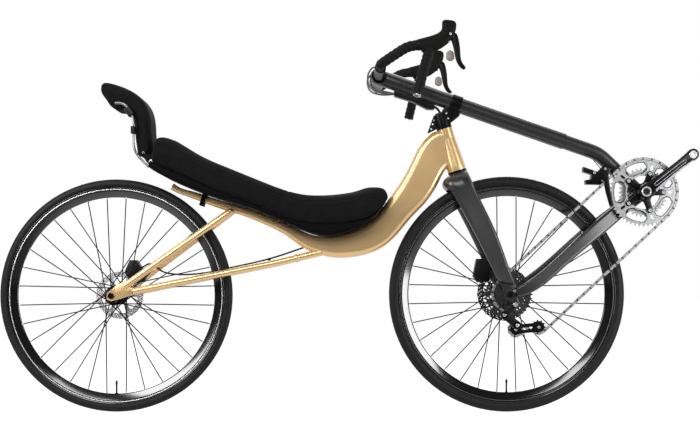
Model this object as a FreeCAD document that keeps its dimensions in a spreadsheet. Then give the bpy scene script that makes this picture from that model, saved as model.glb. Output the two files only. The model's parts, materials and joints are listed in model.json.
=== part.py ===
import FreeCAD, Part
import math
import os
import Sketcher

# Recumbent bicycle with front-wheel drive: the fork, boom, stays and cranks turn together on the head tube.
# Millimetres. Origin: the rider's seat point, +X forward, +Y to the rider's left, +Z up.

doc = FreeCAD.newDocument("RecumbentBicycle")
sheet = doc.addObject("Spreadsheet::Sheet", "Sizes")

SIZES = {
    # stance
    "rear_axle_x": -588, "rear_tyre_top_z": 66,
    # head tube and steering axis, from the middle of the tube's bottom face
    "head_x": 406, "head_above_tyre": 16.5, "head_lean": 16.8, "head_length": 127, "fork_ahead": 35.46,
    "head_radius_low": 27.5, "head_radius_high": 22.5, "steerer_radius": 14.3, "running_gap": 0.05,
    # wheels
    "rear_tyre_width": 28, "front_tyre_width": 32, "tyre_seat": 4,
    "rim_radius": 315, "rim_depth": 29, "rim_width": 24, "rim_nose": 6,
    "spoke_radius": 0.95, "spoke_count": 32, "spoke_crosses": 3, "spoke_gap": 0.2,
    "spoke_outer_gap": 2.6, "spoke_inner_gap": 0.6,
    "flange_hole_radius": 24, "flange_radius": 28, "flange_thickness": 4, "hub_radius": 13,
    "axle_radius": 6, "seat_gap": 0.1, "hub_space": 142, "hub_end_gap": 1,
    "rear_flange_y": 34, "freehub_radius": 15, "front_flange_right_y": 24, "front_flange_left_y": 32,
    "rear_hub_cap_radius": 20, "flange_foot": 20,
    "rotor_y": 45, "rotor_thickness": 2, "rear_rotor_radius": 70, "front_rotor_radius": 80,
    "rotor_band": 15, "rotor_gap": 2, "caliper_wall": 4,
    # frame tubes
    "stay_radius": 10, "stay_out_front_y": 22, "dropout_thickness": 7,
    "seatstay_front_x": -252, "seatstay_front_y": 18, "seatstay_front_z": -27,
    "chainstay_front_x": 10, "chainstay_front_z": -147, "chainstay_bend_x": -120, "chainstay_bend_z": -178, "chainstay_bend": 300,
    "beam_width": 50, "beam_tail_width": 24,
    # cockpit
    "bar_behind_head": 228, "bar_above_top": 146.5, "bar_radius": 15.9, "bar_half_width": 202,
    "grip_radius": 15, "drop_reach": 130, "drop_depth": 86, "drop_flare": 24,
    "boom_radius": 23, "boom_front_behind": 221, "boom_front_above": 151, "boom_inner_radius": 20.8,
    "boom_knee_behind": 121, "boom_knee_above": 116, "boom_knee_bend": 110,
    "band_distance": 222, "band_length": 30,
    # bottom bracket and cranks
    "bracket_ahead": 389, "bracket_above": 294, "bracket_radius": 25, "bracket_width": 68,
    "spindle_radius": 12, "crank_length": 170, "crank_angle": 38.4, "pedal_eye_radius": 7.14,
    "crank_arm_y": 70, "crank_arm_thickness": 13,
    "ring_y": 44.7, "ring_thickness": 2, "small_ring_y": 38, "ring_teeth": 48, "small_ring_teeth": 34,
    "chain_pitch": 12.7, "bolt_circle_radius": 55,
    # cassette and chain
    "cassette_y": 33, "sprocket_space": 3.9, "sprocket_thickness": 1.6, "chain_sprocket": 23,
    "pulley_radius": 19.5, "cage_gap": 5, "cage_thickness": 1.5, "hanger_x": 13, "hanger_z": -28,
    "guide_x": 20, "guide_z": -101, "tension_x": 86, "tension_z": -107,
    "chain_height": 8, "chain_plate": 1.1, "chain_half_gap": 1.7,
    # seat
    "seat_width": 210, "seat_shell_width": 190, "soft_gap": 0.4, "headrest_width": 134,
    "headrest_rod_radius": 3.5, "headrest_rod_y": 69, "headrest_bend": 30,
    "strap_length": 12, "strap_x": -345, "strap_z": -10,
    # fork and front stays
    "tyre_gap": 12, "fork_leg_width": 26, "fork_foot_width": 18, "crown_width": 112,
    # hoses
    "hose_radius": 2.5, "clip_length": 8,
}
for row, (alias, value) in enumerate(SIZES.items(), start=1):
    sheet.set(f"A{row}", alias)
    sheet.set(f"B{row}", str(value))
    sheet.setAlias(f"B{row}", alias)
doc.recompute()

# Places worked out from the sheet, as expressions that the pieces are bound to.
REAR_RADIUS = "(Sizes.rim_radius + Sizes.rear_tyre_width - Sizes.tyre_seat)"
FRONT_RADIUS = "(Sizes.rim_radius + Sizes.front_tyre_width - Sizes.tyre_seat)"
RIM_INNER = "(Sizes.rim_radius - Sizes.rim_depth)"
GROUND = f"(Sizes.rear_tyre_top_z - 2 * {REAR_RADIUS})"
HEAD = ("Sizes.head_x", "0", f"({GROUND} + 2 * {FRONT_RADIUS} + Sizes.head_above_tyre)")
REAR_AXLE = ("Sizes.rear_axle_x", "0", f"({GROUND} + {REAR_RADIUS})")
FRONT_AXLE = (
    f"(Sizes.head_x + ({FRONT_RADIUS} + Sizes.head_above_tyre) * tan(Sizes.head_lean) + Sizes.fork_ahead)",
    "0", f"({GROUND} + {FRONT_RADIUS})")
BAR = ("(Sizes.head_x - Sizes.bar_behind_head)", "0", f"({HEAD[2]} + Sizes.head_length + Sizes.bar_above_top)")
BRACKET = (f"({FRONT_AXLE[0]} + Sizes.bracket_ahead)", "0", f"({FRONT_AXLE[2]} + Sizes.bracket_above)")
BOOM_FRONT = (f"({BRACKET[0]} - Sizes.boom_front_behind)", "0", f"({BRACKET[2]} + Sizes.boom_front_above)")
KNEE = (f"({BRACKET[0]} - Sizes.boom_knee_behind)", "0", f"({BRACKET[2]} + Sizes.boom_knee_above)")
UPRIGHT = "rotation(vector(0;1;0); 0)"
ALONG_Y = "rotation(vector(1;0;0); -90)"
LEANED = "rotation(vector(0;1;0); -Sizes.head_lean)"

pieces = []


def number(text):
    """The value of an expression in the sheet's names."""
    return float(sheet.evalExpression(text))


def point(place):
    """A vector from three expressions."""
    return FreeCAD.Vector(*(number(text) for text in place))


def keep(feature, label):
    """Lists a finished sub-part under its node's name."""
    feature.Label = label
    pieces.append(feature)
    return feature


def set_place(feature, place, turn=UPRIGHT):
    """Binds a placement to a place and a rotation."""
    x, y, z = place
    feature.setExpression("Placement", f"placement(vector({x}; {y}; {z}); {turn})")


def sketch_outline(body, role, corners):
    """A closed outline of straight lines, each corner bound to two expressions."""
    sketch = body.newObject("Sketcher::SketchObject", "Outline")
    plane = [item for item in body.Origin.OriginFeatures if item.Role == role][0]
    sketch.AttachmentSupport = [(plane, "")]
    sketch.MapMode = "FlatFace"
    spots = [FreeCAD.Vector(number(across), number(up), 0) for across, up in corners]
    for index, spot in enumerate(spots):
        sketch.addGeometry(Part.LineSegment(spot, spots[(index + 1) % len(spots)]), False)
    for index in range(len(spots)):
        sketch.addConstraint(Sketcher.Constraint("Coincident", index, 2, (index + 1) % len(spots), 1))
    for index, ((across, up), spot) in enumerate(zip(corners, spots)):
        for kind, text, value in (("DistanceX", across, spot.x), ("DistanceY", up, spot.y)):
            number_of = sketch.addConstraint(Sketcher.Constraint(kind, -1, 1, index, 1, value))
            sketch.setExpression(f"Constraints[{number_of}]", text)
    return sketch


def turned(label, place, turn, profile):
    """A body of revolution about its own Z: profile corners are (radius, height along the axis)."""
    body = doc.addObject("PartDesign::Body", label)
    sketch = sketch_outline(body, "XZ_Plane", profile)
    spun = body.newObject("PartDesign::Revolution", "Turned")
    spun.Profile = sketch
    spun.ReferenceAxis = (sketch, ["V_Axis"])
    spun.Angle = 360
    set_place(body, place, turn)
    return body


def plate(label, place, outline, thickness):
    """A flat plate in the XZ plane, thick towards +Y from its place: outline corners are (x, z)."""
    body = doc.addObject("PartDesign::Body", label)
    sketch = sketch_outline(body, "XZ_Plane", outline)
    pad = body.newObject("PartDesign::Pad", "Thick")
    pad.Profile = sketch
    pad.setExpression("Length", thickness)
    pad.Reversed = True
    set_place(body, place)
    return body


def rod(label, start, end, radius):
    """A straight round bar or tube between two places."""
    run = [f"({b} - ({a}))" for a, b in zip(start, end)]
    length = f"sqrt({run[0]}^2 + {run[1]}^2 + {run[2]}^2)"
    bar = doc.addObject("Part::Cylinder", label)
    bar.setExpression("Radius", radius)
    bar.setExpression("Height", length)
    set_place(bar, start, f"rotation(atan2({run[1]}; {run[0]}); acos({run[2]} / {length}); 0)")
    return bar


def cross_rod(label, place, half_length, radius):
    """A round bar across the bicycle, centred on its place."""
    x, y, z = place
    start = (x, f"({y} - ({half_length}))", z)
    end = (x, f"({y} + ({half_length}))", z)
    return rod(label, start, end, radius)


def cut(label, base, *tools):
    """A base piece less its tools."""
    result = doc.addObject("Part::Cut", label)
    result.Base = base
    result.Tool = tools[0] if len(tools) == 1 else fuse(label + "Tools", *tools)
    return result


def fuse(label, *parts):
    """One solid from parts that overlap."""
    result = doc.addObject("Part::MultiFuse", label)
    result.Shapes = list(parts)
    return result


def together(label, *parts):
    """One piece of several solids that don't touch."""
    result = doc.addObject("Part::Compound", label)
    result.Links = list(parts)
    return result


def along(start, end, distance):
    """A place this far from one place towards another, as expressions."""
    run = [f"({b} - ({a}))" for a, b in zip(start, end)]
    length = f"sqrt({run[0]}^2 + {run[1]}^2 + {run[2]}^2)"
    return tuple(f"({a} + {part} * {distance} / {length})" for a, part in zip(start, run))


def twin(label, source):
    """The other side's piece, mirrored in the bicycle's middle plane."""
    mirror = doc.addObject("Part::Mirroring", label)
    mirror.Source = source
    mirror.Normal = (0, 1, 0)
    return mirror


def shaped(label, shape):
    """A free-formed piece."""
    feature = doc.addObject("Part::Feature", label)
    feature.Shape = shape
    feature.Placement = FreeCAD.Placement()
    return feature


def rounded_section(upper, lower, width, side=0.0, roundness=0.85):
    """A rounded rectangle of lines and arcs: upper and lower are its edges' (x, z), side its middle's y."""
    top = FreeCAD.Vector(upper[0], side, upper[1])
    bottom = FreeCAD.Vector(lower[0], side, lower[1])
    middle = (top + bottom) * 0.5
    depth = (top - bottom).Length
    high = (top - bottom).normalize()
    wide = FreeCAD.Vector(0, 1, 0)
    corner = min(width, depth) / 2 * roundness
    reach = corner * (1 - math.sqrt(0.5))

    def at(across, up):
        return middle + wide * across + high * up

    edges = []
    half, tall = width / 2, depth / 2
    for across, up in ((1, 1), (-1, 1), (-1, -1), (1, -1)):
        on_side = at(across * half, up * (tall - corner))
        on_top = at(across * (half - corner), up * tall)
        bulge = at(across * (half - reach), up * (tall - reach))
        ends = (on_side, on_top) if across * up > 0 else (on_top, on_side)
        edges.append(Part.Arc(ends[0], bulge, ends[1]).toShape())
    joined = []
    for index, arc in enumerate(edges):
        following = edges[(index + 1) % 4]
        joined.append(arc)
        joined.append(Part.LineSegment(arc.Vertexes[1].Point, following.Vertexes[0].Point).toShape())
    return Part.Wire(joined)


def lofted(label, sections, ruled=False):
    """A smooth solid through rounded sections, each (upper, lower, width, side, roundness)."""
    wires = [rounded_section(*section) for section in sections]
    return shaped(label, Part.makeLoft(wires, True, ruled))


def bent_path(points, bends):
    """Straight runs joined by tangent arcs: one bend radius for each inner point."""
    edges = []
    last = points[0]
    for before, corner, after, bend in zip(points, points[1:], points[2:], bends):
        into = (corner - before).normalize()
        out = (after - corner).normalize()
        turn = into.getAngle(out)
        back = bend * math.tan(turn / 2)
        start = corner - into * back
        end = corner + out * back
        inward = (out - into).normalize()
        middle = corner + inward * (bend / math.cos(turn / 2) - bend)
        edges.append(Part.LineSegment(last, start).toShape())
        edges.append(Part.Arc(start, middle, end).toShape())
        last = end
    edges.append(Part.LineSegment(last, points[-1]).toShape())
    return Part.Wire(edges)


def piped(label, points, bends, radius):
    """A round tube along a bent path."""
    path = bent_path(points, bends)
    ring = Part.Wire(Part.makeCircle(radius, points[0], points[1] - points[0]))
    return shaped(label, path.makePipeShell([ring], True, False))


# Head tube and headset ------------------------------------------------------------------------------
head_tube = turned("head_tube", HEAD, LEANED, [
    ("Sizes.steerer_radius + 3", "0"), ("Sizes.head_radius_low", "0"),
    ("Sizes.head_radius_low", "12"), ("Sizes.head_radius_high", "Sizes.head_length - 30"),
    ("Sizes.head_radius_high", "Sizes.head_length"), ("Sizes.steerer_radius + 3", "Sizes.head_length")])
keep(head_tube, "head_tube")
cups = []
for label, low, high, radius in (
        ("CupLower", "-5", "0", "Sizes.head_radius_low"),
        ("CupUpper", "Sizes.head_length", "Sizes.head_length + 6", "Sizes.head_radius_high")):
    cups.append(turned(label, HEAD, LEANED, [
        ("Sizes.steerer_radius + Sizes.running_gap", low), (radius, low),
        (radius, high), ("Sizes.steerer_radius + Sizes.running_gap", high)]))
keep(together("headset_cups", *cups), "headset_cups")

# Main beam: one oval tube from the head tube, under the seat and back over the rear wheel ------------
head = point(HEAD)
beam_width = number("Sizes.beam_width")
tail_width = number("Sizes.beam_tail_width")
head_length = number("Sizes.head_length")
beam_sections = []
# columns: upper edge x, z and lower edge x, z from the head tube's foot, width
for upper_x, upper_z, lower_x, lower_z, width in (
        (-28, head_length - 11, 4, 10, beam_width - 8),
        (-94, head_length - 32, -38, -3, beam_width - 4),
        (-124, 46, -61, -47, beam_width),
        (-155, -16, -94, -95, beam_width),
        (-198, -80, -136, -139, beam_width)):
    beam_sections.append(((head.x + upper_x, head.z + upper_z), (head.x + lower_x, head.z + lower_z), width))
# columns: upper edge x, z and lower edge x, z from the seat point, width
for upper_x, upper_z, lower_x, lower_z, width in (
        (154, -54, 194, -129, beam_width),
        (92, -89, 108, -160, beam_width),
        (34, -102, 36, -161, beam_width - 2),
        (-22, -94, -37, -137, beam_width - 8),
        (-80, -68, -95, -97, beam_width - 14),
        (-137, -43, -149, -69, tail_width + 8),
        (-195, -21, -204, -46, tail_width + 5),
        (-252, -5, -260, -28, tail_width + 2),
        (-310, 13, -317, -9, tail_width + 1),
        (-365, 31, -372, 12, tail_width),
        (-420, 54, -429, 36, tail_width)):
    beam_sections.append(((upper_x, upper_z), (lower_x, lower_z), width))
beam_full = lofted("BeamFull", beam_sections)
head_core = turned("HeadCore", HEAD, LEANED, [
    ("0", "-6"), ("Sizes.head_radius_low", "-6"), ("Sizes.head_radius_low", "12"),
    ("Sizes.head_radius_high", "Sizes.head_length - 30"),
    ("Sizes.head_radius_high", "Sizes.head_length + 7"), ("0", "Sizes.head_length + 7")])
main_beam = keep(cut("main_beam", beam_full, head_core), "main_beam")

# Rear stays, dropouts and axle ------------------------------------------------------------------------
DROPOUT_Y = "(Sizes.hub_space / 2)"
STAY_END_Y = "(Sizes.hub_space / 2 + Sizes.dropout_thickness / 2)"
rear = point(REAR_AXLE)
stay_radius = number("Sizes.stay_radius")
stay_end_y = number(STAY_END_Y)
seatstay = rod("SeatstayTube",
               ("Sizes.seatstay_front_x", "-Sizes.seatstay_front_y", "Sizes.seatstay_front_z"),
               (f"{REAR_AXLE[0]} + 36", f"-{STAY_END_Y}", f"{REAR_AXLE[2]} + 26"), "Sizes.stay_radius")
chainstay_points = [
    point(("Sizes.chainstay_front_x", "-Sizes.stay_out_front_y * 0.5", "Sizes.chainstay_front_z")),
    point(("Sizes.chainstay_bend_x", "-Sizes.stay_out_front_y - 4", "Sizes.chainstay_bend_z")),
    point((f"{REAR_AXLE[0]} + 62", f"-{STAY_END_Y}", f"{REAR_AXLE[2]} + 13"))]
chainstay = piped("ChainstayTube", chainstay_points, [number("Sizes.chainstay_bend")], stay_radius)
dropout_outline = [
    ("-12", "-10"), ("0", "-15"), ("20", "-10"), ("62", "3"), ("62", "23"),
    ("44", "26"), ("36", "40"), ("20", "33"), ("-12", "8")]
dropout_blank = plate("DropoutBlank", (REAR_AXLE[0], f"-{DROPOUT_Y} - Sizes.dropout_thickness", REAR_AXLE[2]),
                      dropout_outline, "Sizes.dropout_thickness")
axle_hole_rear = cross_rod("AxleHoleRear", REAR_AXLE, "Sizes.hub_space", "Sizes.axle_radius + Sizes.seat_gap")
dropout = cut("dropout_right", dropout_blank, axle_hole_rear)
seatstay_right = cut("seatstay_right", seatstay, main_beam, dropout_blank)
chainstay_right = cut("chainstay_right", chainstay, main_beam, dropout_blank)
twins = {}
for piece, name in ((dropout, "dropout"), (seatstay_right, "seatstay"), (chainstay_right, "chainstay")):
    keep(piece, name + "_right")
    twins[name] = keep(twin(name + "_left", piece), name + "_left")
AXLE_HALF = "Sizes.hub_space / 2 + Sizes.dropout_thickness + 2"
keep(cross_rod("rear_axle", REAR_AXLE, AXLE_HALF, "Sizes.axle_radius"), "rear_axle")

# Seat -------------------------------------------------------------------------------------------------
seat_width = number("Sizes.seat_width")
shell_width = number("Sizes.seat_shell_width")
soft_gap = number("Sizes.soft_gap")
# columns: cushion's upper edge x, z; the seam's x, z; the shell's lowest x, z
seat_sections = (
    (-459, 168, -474, 112, -479, 94),
    (-431, 175, -444, 98, -452, 76),
    (-352, 136, -378, 70, -388, 46),
    (-268, 96, -293, 30, -298, 12),
    (-157, 51, -180, -14, -185, -23),
    (-46, 15, -60, -58, -62, -75),
    (40, 14, 36, -66, 34, -101),
    (121, 28, 106, -60, 103, -84),
    (170, 37, 160, -42, 155, -52),
    (192, 26, 178, -24, 174, -32),
    (204, 8, 192, -8, 189, -15),
)
cushion_sections = []
shell_sections = []
for upper_x, upper_z, seam_x, seam_z, low_x, low_z in seat_sections:
    cushion_sections.append(((upper_x, upper_z), (seam_x, seam_z + soft_gap), seat_width, 0.0, 0.7))
    shell_sections.append(((seam_x, seam_z), (low_x, low_z), shell_width, 0.0, 0.8))
keep(lofted("seat_cushion", cushion_sections), "seat_cushion")
strap = doc.addObject("Part::Box", "Strap")
for side, size in (("Length", "Sizes.strap_length"), ("Width", "Sizes.beam_tail_width + 16"), ("Height", "48")):
    strap.setExpression(side, size)
set_place(strap, ("Sizes.strap_x", "-(Sizes.beam_tail_width + 16) / 2", "Sizes.strap_z"),
          "rotation(vector(0;1;0); 18)")
strap_ring = cut("StrapRing", strap, beam_full)
seat_shell = keep(fuse("seat_shell", lofted("ShellPan", shell_sections), strap_ring), "seat_shell")

# Headrest ---------------------------------------------------------------------------------------------
headrest_width = number("Sizes.headrest_width")
seat_end_x, seat_end_z = seat_sections[0][4:]
# columns: front edge x, z and rear edge x, z from the shell's rear end
headrest_sections = []
for front_x, front_z, back_x, back_z in (
        (-128, 240, -137, 208),
        (-111, 243, -122, 184),
        (-74, 231, -94, 170),
        (-34, 207, -66, 166),
        (-12, 178, -51, 144),
        (-3, 136, -45, 113),
        (0, 90, -42, 76),
        (-9, 42, -34, 34)):
    headrest_sections.append(((seat_end_x + front_x, seat_end_z + front_z),
                              (seat_end_x + back_x, seat_end_z + back_z), headrest_width, 0.0, 0.8))
headrest_pad = lofted("HeadrestPadFull", headrest_sections)
rod_y = number("Sizes.headrest_rod_y")
bend = number("Sizes.headrest_bend")
# columns: x and z from the shell's rear end
rod_points = [FreeCAD.Vector(seat_end_x + x, -rod_y, seat_end_z + z) for x, z in (
    (-99, 184), (-77, 184), (-49, 149), (-46, 56), (1, -1))]
rod_right = piped("HeadrestRodPipe", rod_points, [bend * 0.6, bend, bend * 1.4],
                  number("Sizes.headrest_rod_radius"))
# columns: middle x and z from the shell's rear end, length along the rod, thickness, turn
clips = []
for middle_x, middle_z, long, thick, lean_back in ((-59, 159, 26, 18, 38), (-47, 107, 22, 13, 0)):
    clip = Part.makeBox(thick, 20, long, FreeCAD.Vector(-thick / 2, -10, -long / 2))
    clip.rotate(FreeCAD.Vector(), FreeCAD.Vector(0, 1, 0), -lean_back)
    clip.translate(FreeCAD.Vector(seat_end_x + middle_x, 4 - rod_y, seat_end_z + middle_z))
    clips.append(clip)
rod_clipped = shaped("HeadrestRodClipped", rod_right.Shape.fuse(clips))
rod_bare = cut("HeadrestRodBare", rod_clipped, seat_shell)
headrest_rod = together("headrest_rod", rod_bare, twin("HeadrestRodTwin", rod_bare))
keep(headrest_rod, "headrest_rod")
keep(cut("headrest_pad", headrest_pad, headrest_rod), "headrest_pad")

# Steerer, crown and fork legs -------------------------------------------------------------------------
front = point(FRONT_AXLE)
lean = math.radians(number("Sizes.head_lean"))
axis = FreeCAD.Vector(-math.sin(lean), 0, math.cos(lean))
steerer = turned("Steerer", HEAD, LEANED, [
    ("0", "-7"), ("Sizes.steerer_radius", "-7"),
    ("Sizes.steerer_radius", "Sizes.head_length + 50"), ("0", "Sizes.head_length + 50")])
crown_width = number("Sizes.crown_width")
leg_width = number("Sizes.fork_leg_width")
foot_width = number("Sizes.fork_foot_width")
leg_top_y = crown_width / 2 - leg_width / 2
foot_y = number("Sizes.hub_space / 2") + foot_width / 2 - 2


def from_head(along, ahead):
    """The (x, z) of a spot this far down the steering axis and this far ahead of it."""
    spot = head - axis * along + FreeCAD.Vector(math.cos(lean), 0, math.sin(lean)) * ahead
    return (spot.x, spot.z)


crown_sections = [
    (from_head(6, 27), from_head(6, -28), 54, 0.0, 0.95),
    (from_head(24, 29), from_head(27, -52), crown_width - 14, 0.0, 0.8),
    (from_head(46, 30), from_head(56, -38), crown_width, 0.0, 0.8)]
crown_blank = lofted("CrownBlank", crown_sections)
wheel_arch = cross_rod("WheelArch", FRONT_AXLE, "Sizes.crown_width / 2 - Sizes.fork_leg_width",
                       f"{FRONT_RADIUS} + Sizes.tyre_gap / 2")
fork_crown = keep(fuse("fork_crown", cut("CrownArched", crown_blank, wheel_arch), steerer), "fork_crown")
leg_sections = [(from_head(46, 30), from_head(56, -38), leg_width, -leg_top_y, 0.8)]
# columns: front edge x, z and rear edge x, z from the front axle, share of the way down
for front_x, front_z, rear_x, rear_z, share in (
        (-57, 222, -112, 200, 0.25),
        (-27, 150, -82, 140, 0.5),
        (0, 70, -50, 72, 0.8),
        (16, 30, -35, 39, 1.0)):
    width = leg_width + (foot_width - leg_width) * share
    side = -(leg_top_y + (foot_y - leg_top_y) * share)
    leg_sections.append(((front.x + front_x, front.z + front_z), (front.x + rear_x, front.z + rear_z),
                         width, side, 0.8))
leg = lofted("fork_leg_right", leg_sections)
keep(leg, "fork_leg_right")
leg_twin = keep(twin("fork_leg_left", leg), "fork_leg_left")

# Front dropouts and axle ------------------------------------------------------------------------------
front_dropout_outline = [
    ("-35", "39"), ("16", "30"), ("17", "19"), ("20", "-7"), ("26", "-24"), ("22", "-38"), ("12", "-38"),
    ("4", "-20"), ("-12", "-15"), ("-18", "0"), ("-22", "20")]
front_dropout_blank = plate(
    "FrontDropoutBlank", (FRONT_AXLE[0], f"-{DROPOUT_Y} - Sizes.dropout_thickness", FRONT_AXLE[2]),
    front_dropout_outline, "Sizes.dropout_thickness")
axle_hole_front = cross_rod("AxleHoleFront", FRONT_AXLE, "Sizes.hub_space",
                            "Sizes.axle_radius + Sizes.seat_gap")
front_dropout = keep(cut("front_dropout_right", front_dropout_blank, axle_hole_front), "front_dropout_right")
keep(twin("front_dropout_left", front_dropout), "front_dropout_left")
keep(cross_rod("front_axle", FRONT_AXLE, AXLE_HALF, "Sizes.axle_radius"), "front_axle")

# Bottom bracket shell and front stays -----------------------------------------------------------------
shell_blank = cross_rod("BracketBlank", BRACKET, "Sizes.bracket_width / 2", "Sizes.bracket_radius")
shell_bore = cross_rod("BracketBore", BRACKET, "Sizes.bracket_width",
                       "Sizes.spindle_radius + Sizes.running_gap")
keep(cut("bracket_shell", shell_blank, shell_bore), "bracket_shell")
bracket = point(BRACKET)
stay_sections = []
# columns: upper edge x, z and lower edge x, z from the front axle, middle's y, width
for upper_x, upper_z, lower_x, lower_z, side, width in (
        (17, 19, 20, -7, -79, 14),
        (57, 43, 76, 14, -77, 17),
        (143, 113, 166, 86, -60, 22),
        (240, 202, 266, 168, -40, 22),
        (302, 251, 328, 218, -22, 19)):
    stay_sections.append(((front.x + upper_x, front.z + upper_z), (front.x + lower_x, front.z + lower_z),
                          width, side, 0.8))
stay_sections.append(((bracket.x - 16, bracket.z + 17), (bracket.x + 16, bracket.z - 17), 20, -20, 0.8))
stay_blank = lofted("FrontStayFull", stay_sections)

# Boom ---------------------------------------------------------------------------------------------------
boom_outer = rod("BoomOuter", BAR, BOOM_FRONT, "Sizes.boom_radius")
clamp_blank = cross_rod("ClampBlank", BAR, "24", "Sizes.bar_radius + 6")
bar_clamp = cut("bar_clamp", clamp_blank,
                cross_rod("BarHole", BAR, "30", "Sizes.bar_radius + Sizes.seat_gap"))
keep(bar_clamp, "bar_clamp")
keep(cut("boom_outer", boom_outer, clamp_blank), "boom_outer")
knee = point(KNEE)
boom_inner = piped("BoomInner", [point(BOOM_FRONT), knee, bracket],
                   [number("Sizes.boom_knee_bend")], number("Sizes.boom_inner_radius"))
keep(cut("boom_inner", boom_inner, shell_blank, boom_outer), "boom_inner")
front_stay = cut("front_stay_right", stay_blank, shell_blank, boom_inner)
keep(front_stay, "front_stay_right")
keep(twin("front_stay_left", front_stay), "front_stay_left")

# Steerer clamp with its bracket to the boom ------------------------------------------------------------
clamp_ring = turned("ClampRing", HEAD, LEANED, [
    ("Sizes.steerer_radius + Sizes.seat_gap", "Sizes.head_length + 7"),
    ("23", "Sizes.head_length + 7"), ("21", "Sizes.head_length + 46"),
    ("Sizes.steerer_radius + Sizes.seat_gap", "Sizes.head_length + 46")])
bracket_plate = plate("BoomBracket", (HEAD[0], "-14", HEAD[2]), [
    ("-40", "Sizes.head_length + 23"), ("-24", "Sizes.head_length + 9"), ("6", "Sizes.head_length + 33"),
    ("10", "Sizes.head_length + 58"), ("-30", "Sizes.head_length + 65"), ("-44", "Sizes.head_length + 49")], "28")
band = rod("BoomBand", along(BAR, BOOM_FRONT, "Sizes.band_distance"),
           along(BAR, BOOM_FRONT, "(Sizes.band_distance + Sizes.band_length)"), "Sizes.boom_radius + 3")
steerer_hole = turned("SteererHole", HEAD, LEANED, [
    ("0", "Sizes.head_length"), ("Sizes.steerer_radius + Sizes.seat_gap", "Sizes.head_length"),
    ("Sizes.steerer_radius + Sizes.seat_gap", "Sizes.head_length + 60"), ("0", "Sizes.head_length + 60")])
clamp_body = fuse("ClampBody", clamp_ring, bracket_plate, band)
keep(cut("steerer_clamp", clamp_body, steerer_hole, boom_outer), "steerer_clamp")
cable_box_full = plate("CableBoxBlank", (BAR[0], "-13", BAR[2]), [
    ("44", "-34"), ("44", "-56"), ("96", "-72"), ("140", "-94"), ("161", "-95"), ("161", "-70")], "26")
keep(cut("cable_box", cable_box_full, boom_outer), "cable_box")

# Handlebar ----------------------------------------------------------------------------------------------
bar = point(BAR)
half_width = number("Sizes.bar_half_width")
bar_tube_half = "Sizes.bar_half_width - 50"
bar_full = keep(cross_rod("handlebar_tube", BAR, bar_tube_half, "Sizes.bar_radius"), "handlebar_tube")
drop_reach = number("Sizes.drop_reach")
# columns: x from the bar's middle, y, z from the bar's middle
drop_points = [FreeCAD.Vector(bar.x + x, y, bar.z + z) for x, y, z in (
    (0, 50 - half_width, 0), (0, -half_width, 0), (drop_reach - 56, -half_width, 49),
    (drop_reach, -half_width, 51), (drop_reach - 31, -half_width - number("Sizes.drop_flare"),
                                    -number("Sizes.drop_depth")))]
drop = piped("drop_right", drop_points, [26, 60, 22], number("Sizes.grip_radius"))
keep(drop, "drop_right")
keep(twin("drop_left", drop), "drop_left")
# columns: upper or rear edge x, z and lower or front edge x, z from the bar's middle, width
hood_sections = []
for upper_x, upper_z, lower_x, lower_z, width in (
        (100, 68, 128, 30, 34),
        (134, 77, 162, 41, 32),
        (162, 88, 182, 57, 30),
        (169, 98, 202, 76, 28),
        (171, 114, 201, 110, 24)):
    hood_sections.append(((bar.x + upper_x, bar.z + upper_z), (bar.x + lower_x, bar.z + lower_z),
                          width, -half_width, 0.8))
hood = cut("hood_right", lofted("HoodFull", hood_sections), drop)
keep(hood, "hood_right")
keep(twin("hood_left", hood), "hood_left")
lever_sections = []
for outer_x, outer_z, inner_x, inner_z, width in (
        (204, 74, 188, 66, 12),
        (212, 39, 200, 38, 14),
        (212, 12, 204, 11, 12),
        (234, -11, 228, -16, 10)):
    lever_sections.append(((bar.x + outer_x, bar.z + outer_z), (bar.x + inner_x, bar.z + inner_z),
                           width, -half_width, 0.8))
lever = cut("brake_lever_right", lofted("LeverFull", lever_sections), hood)
keep(lever, "brake_lever_right")
keep(twin("brake_lever_left", lever), "brake_lever_left")


# Wheels ---------------------------------------------------------------------------------------------------
def make_rim(label, axle):
    """A deep V rim."""
    half = "Sizes.rim_width / 2"
    return keep(turned(label, axle, ALONG_Y, [
        (RIM_INNER, "-Sizes.rim_nose / 2"), ("Sizes.rim_radius - 13", f"-{half} + 1"),
        ("Sizes.rim_radius", f"-{half}"), ("Sizes.rim_radius", half),
        ("Sizes.rim_radius - 13", f"{half} - 1"), (RIM_INNER, "Sizes.rim_nose / 2")]), label)


def make_tyre(label, axle, radius, width, rim):
    """A round tyre seated on its rim."""
    ring = doc.addObject("Part::Torus", label + "Ring")
    ring.setExpression("Radius1", f"{radius} - {width} / 2")
    ring.setExpression("Radius2", f"{width} / 2")
    set_place(ring, axle, ALONG_Y)
    return keep(cut(label, ring, rim), label)


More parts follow.
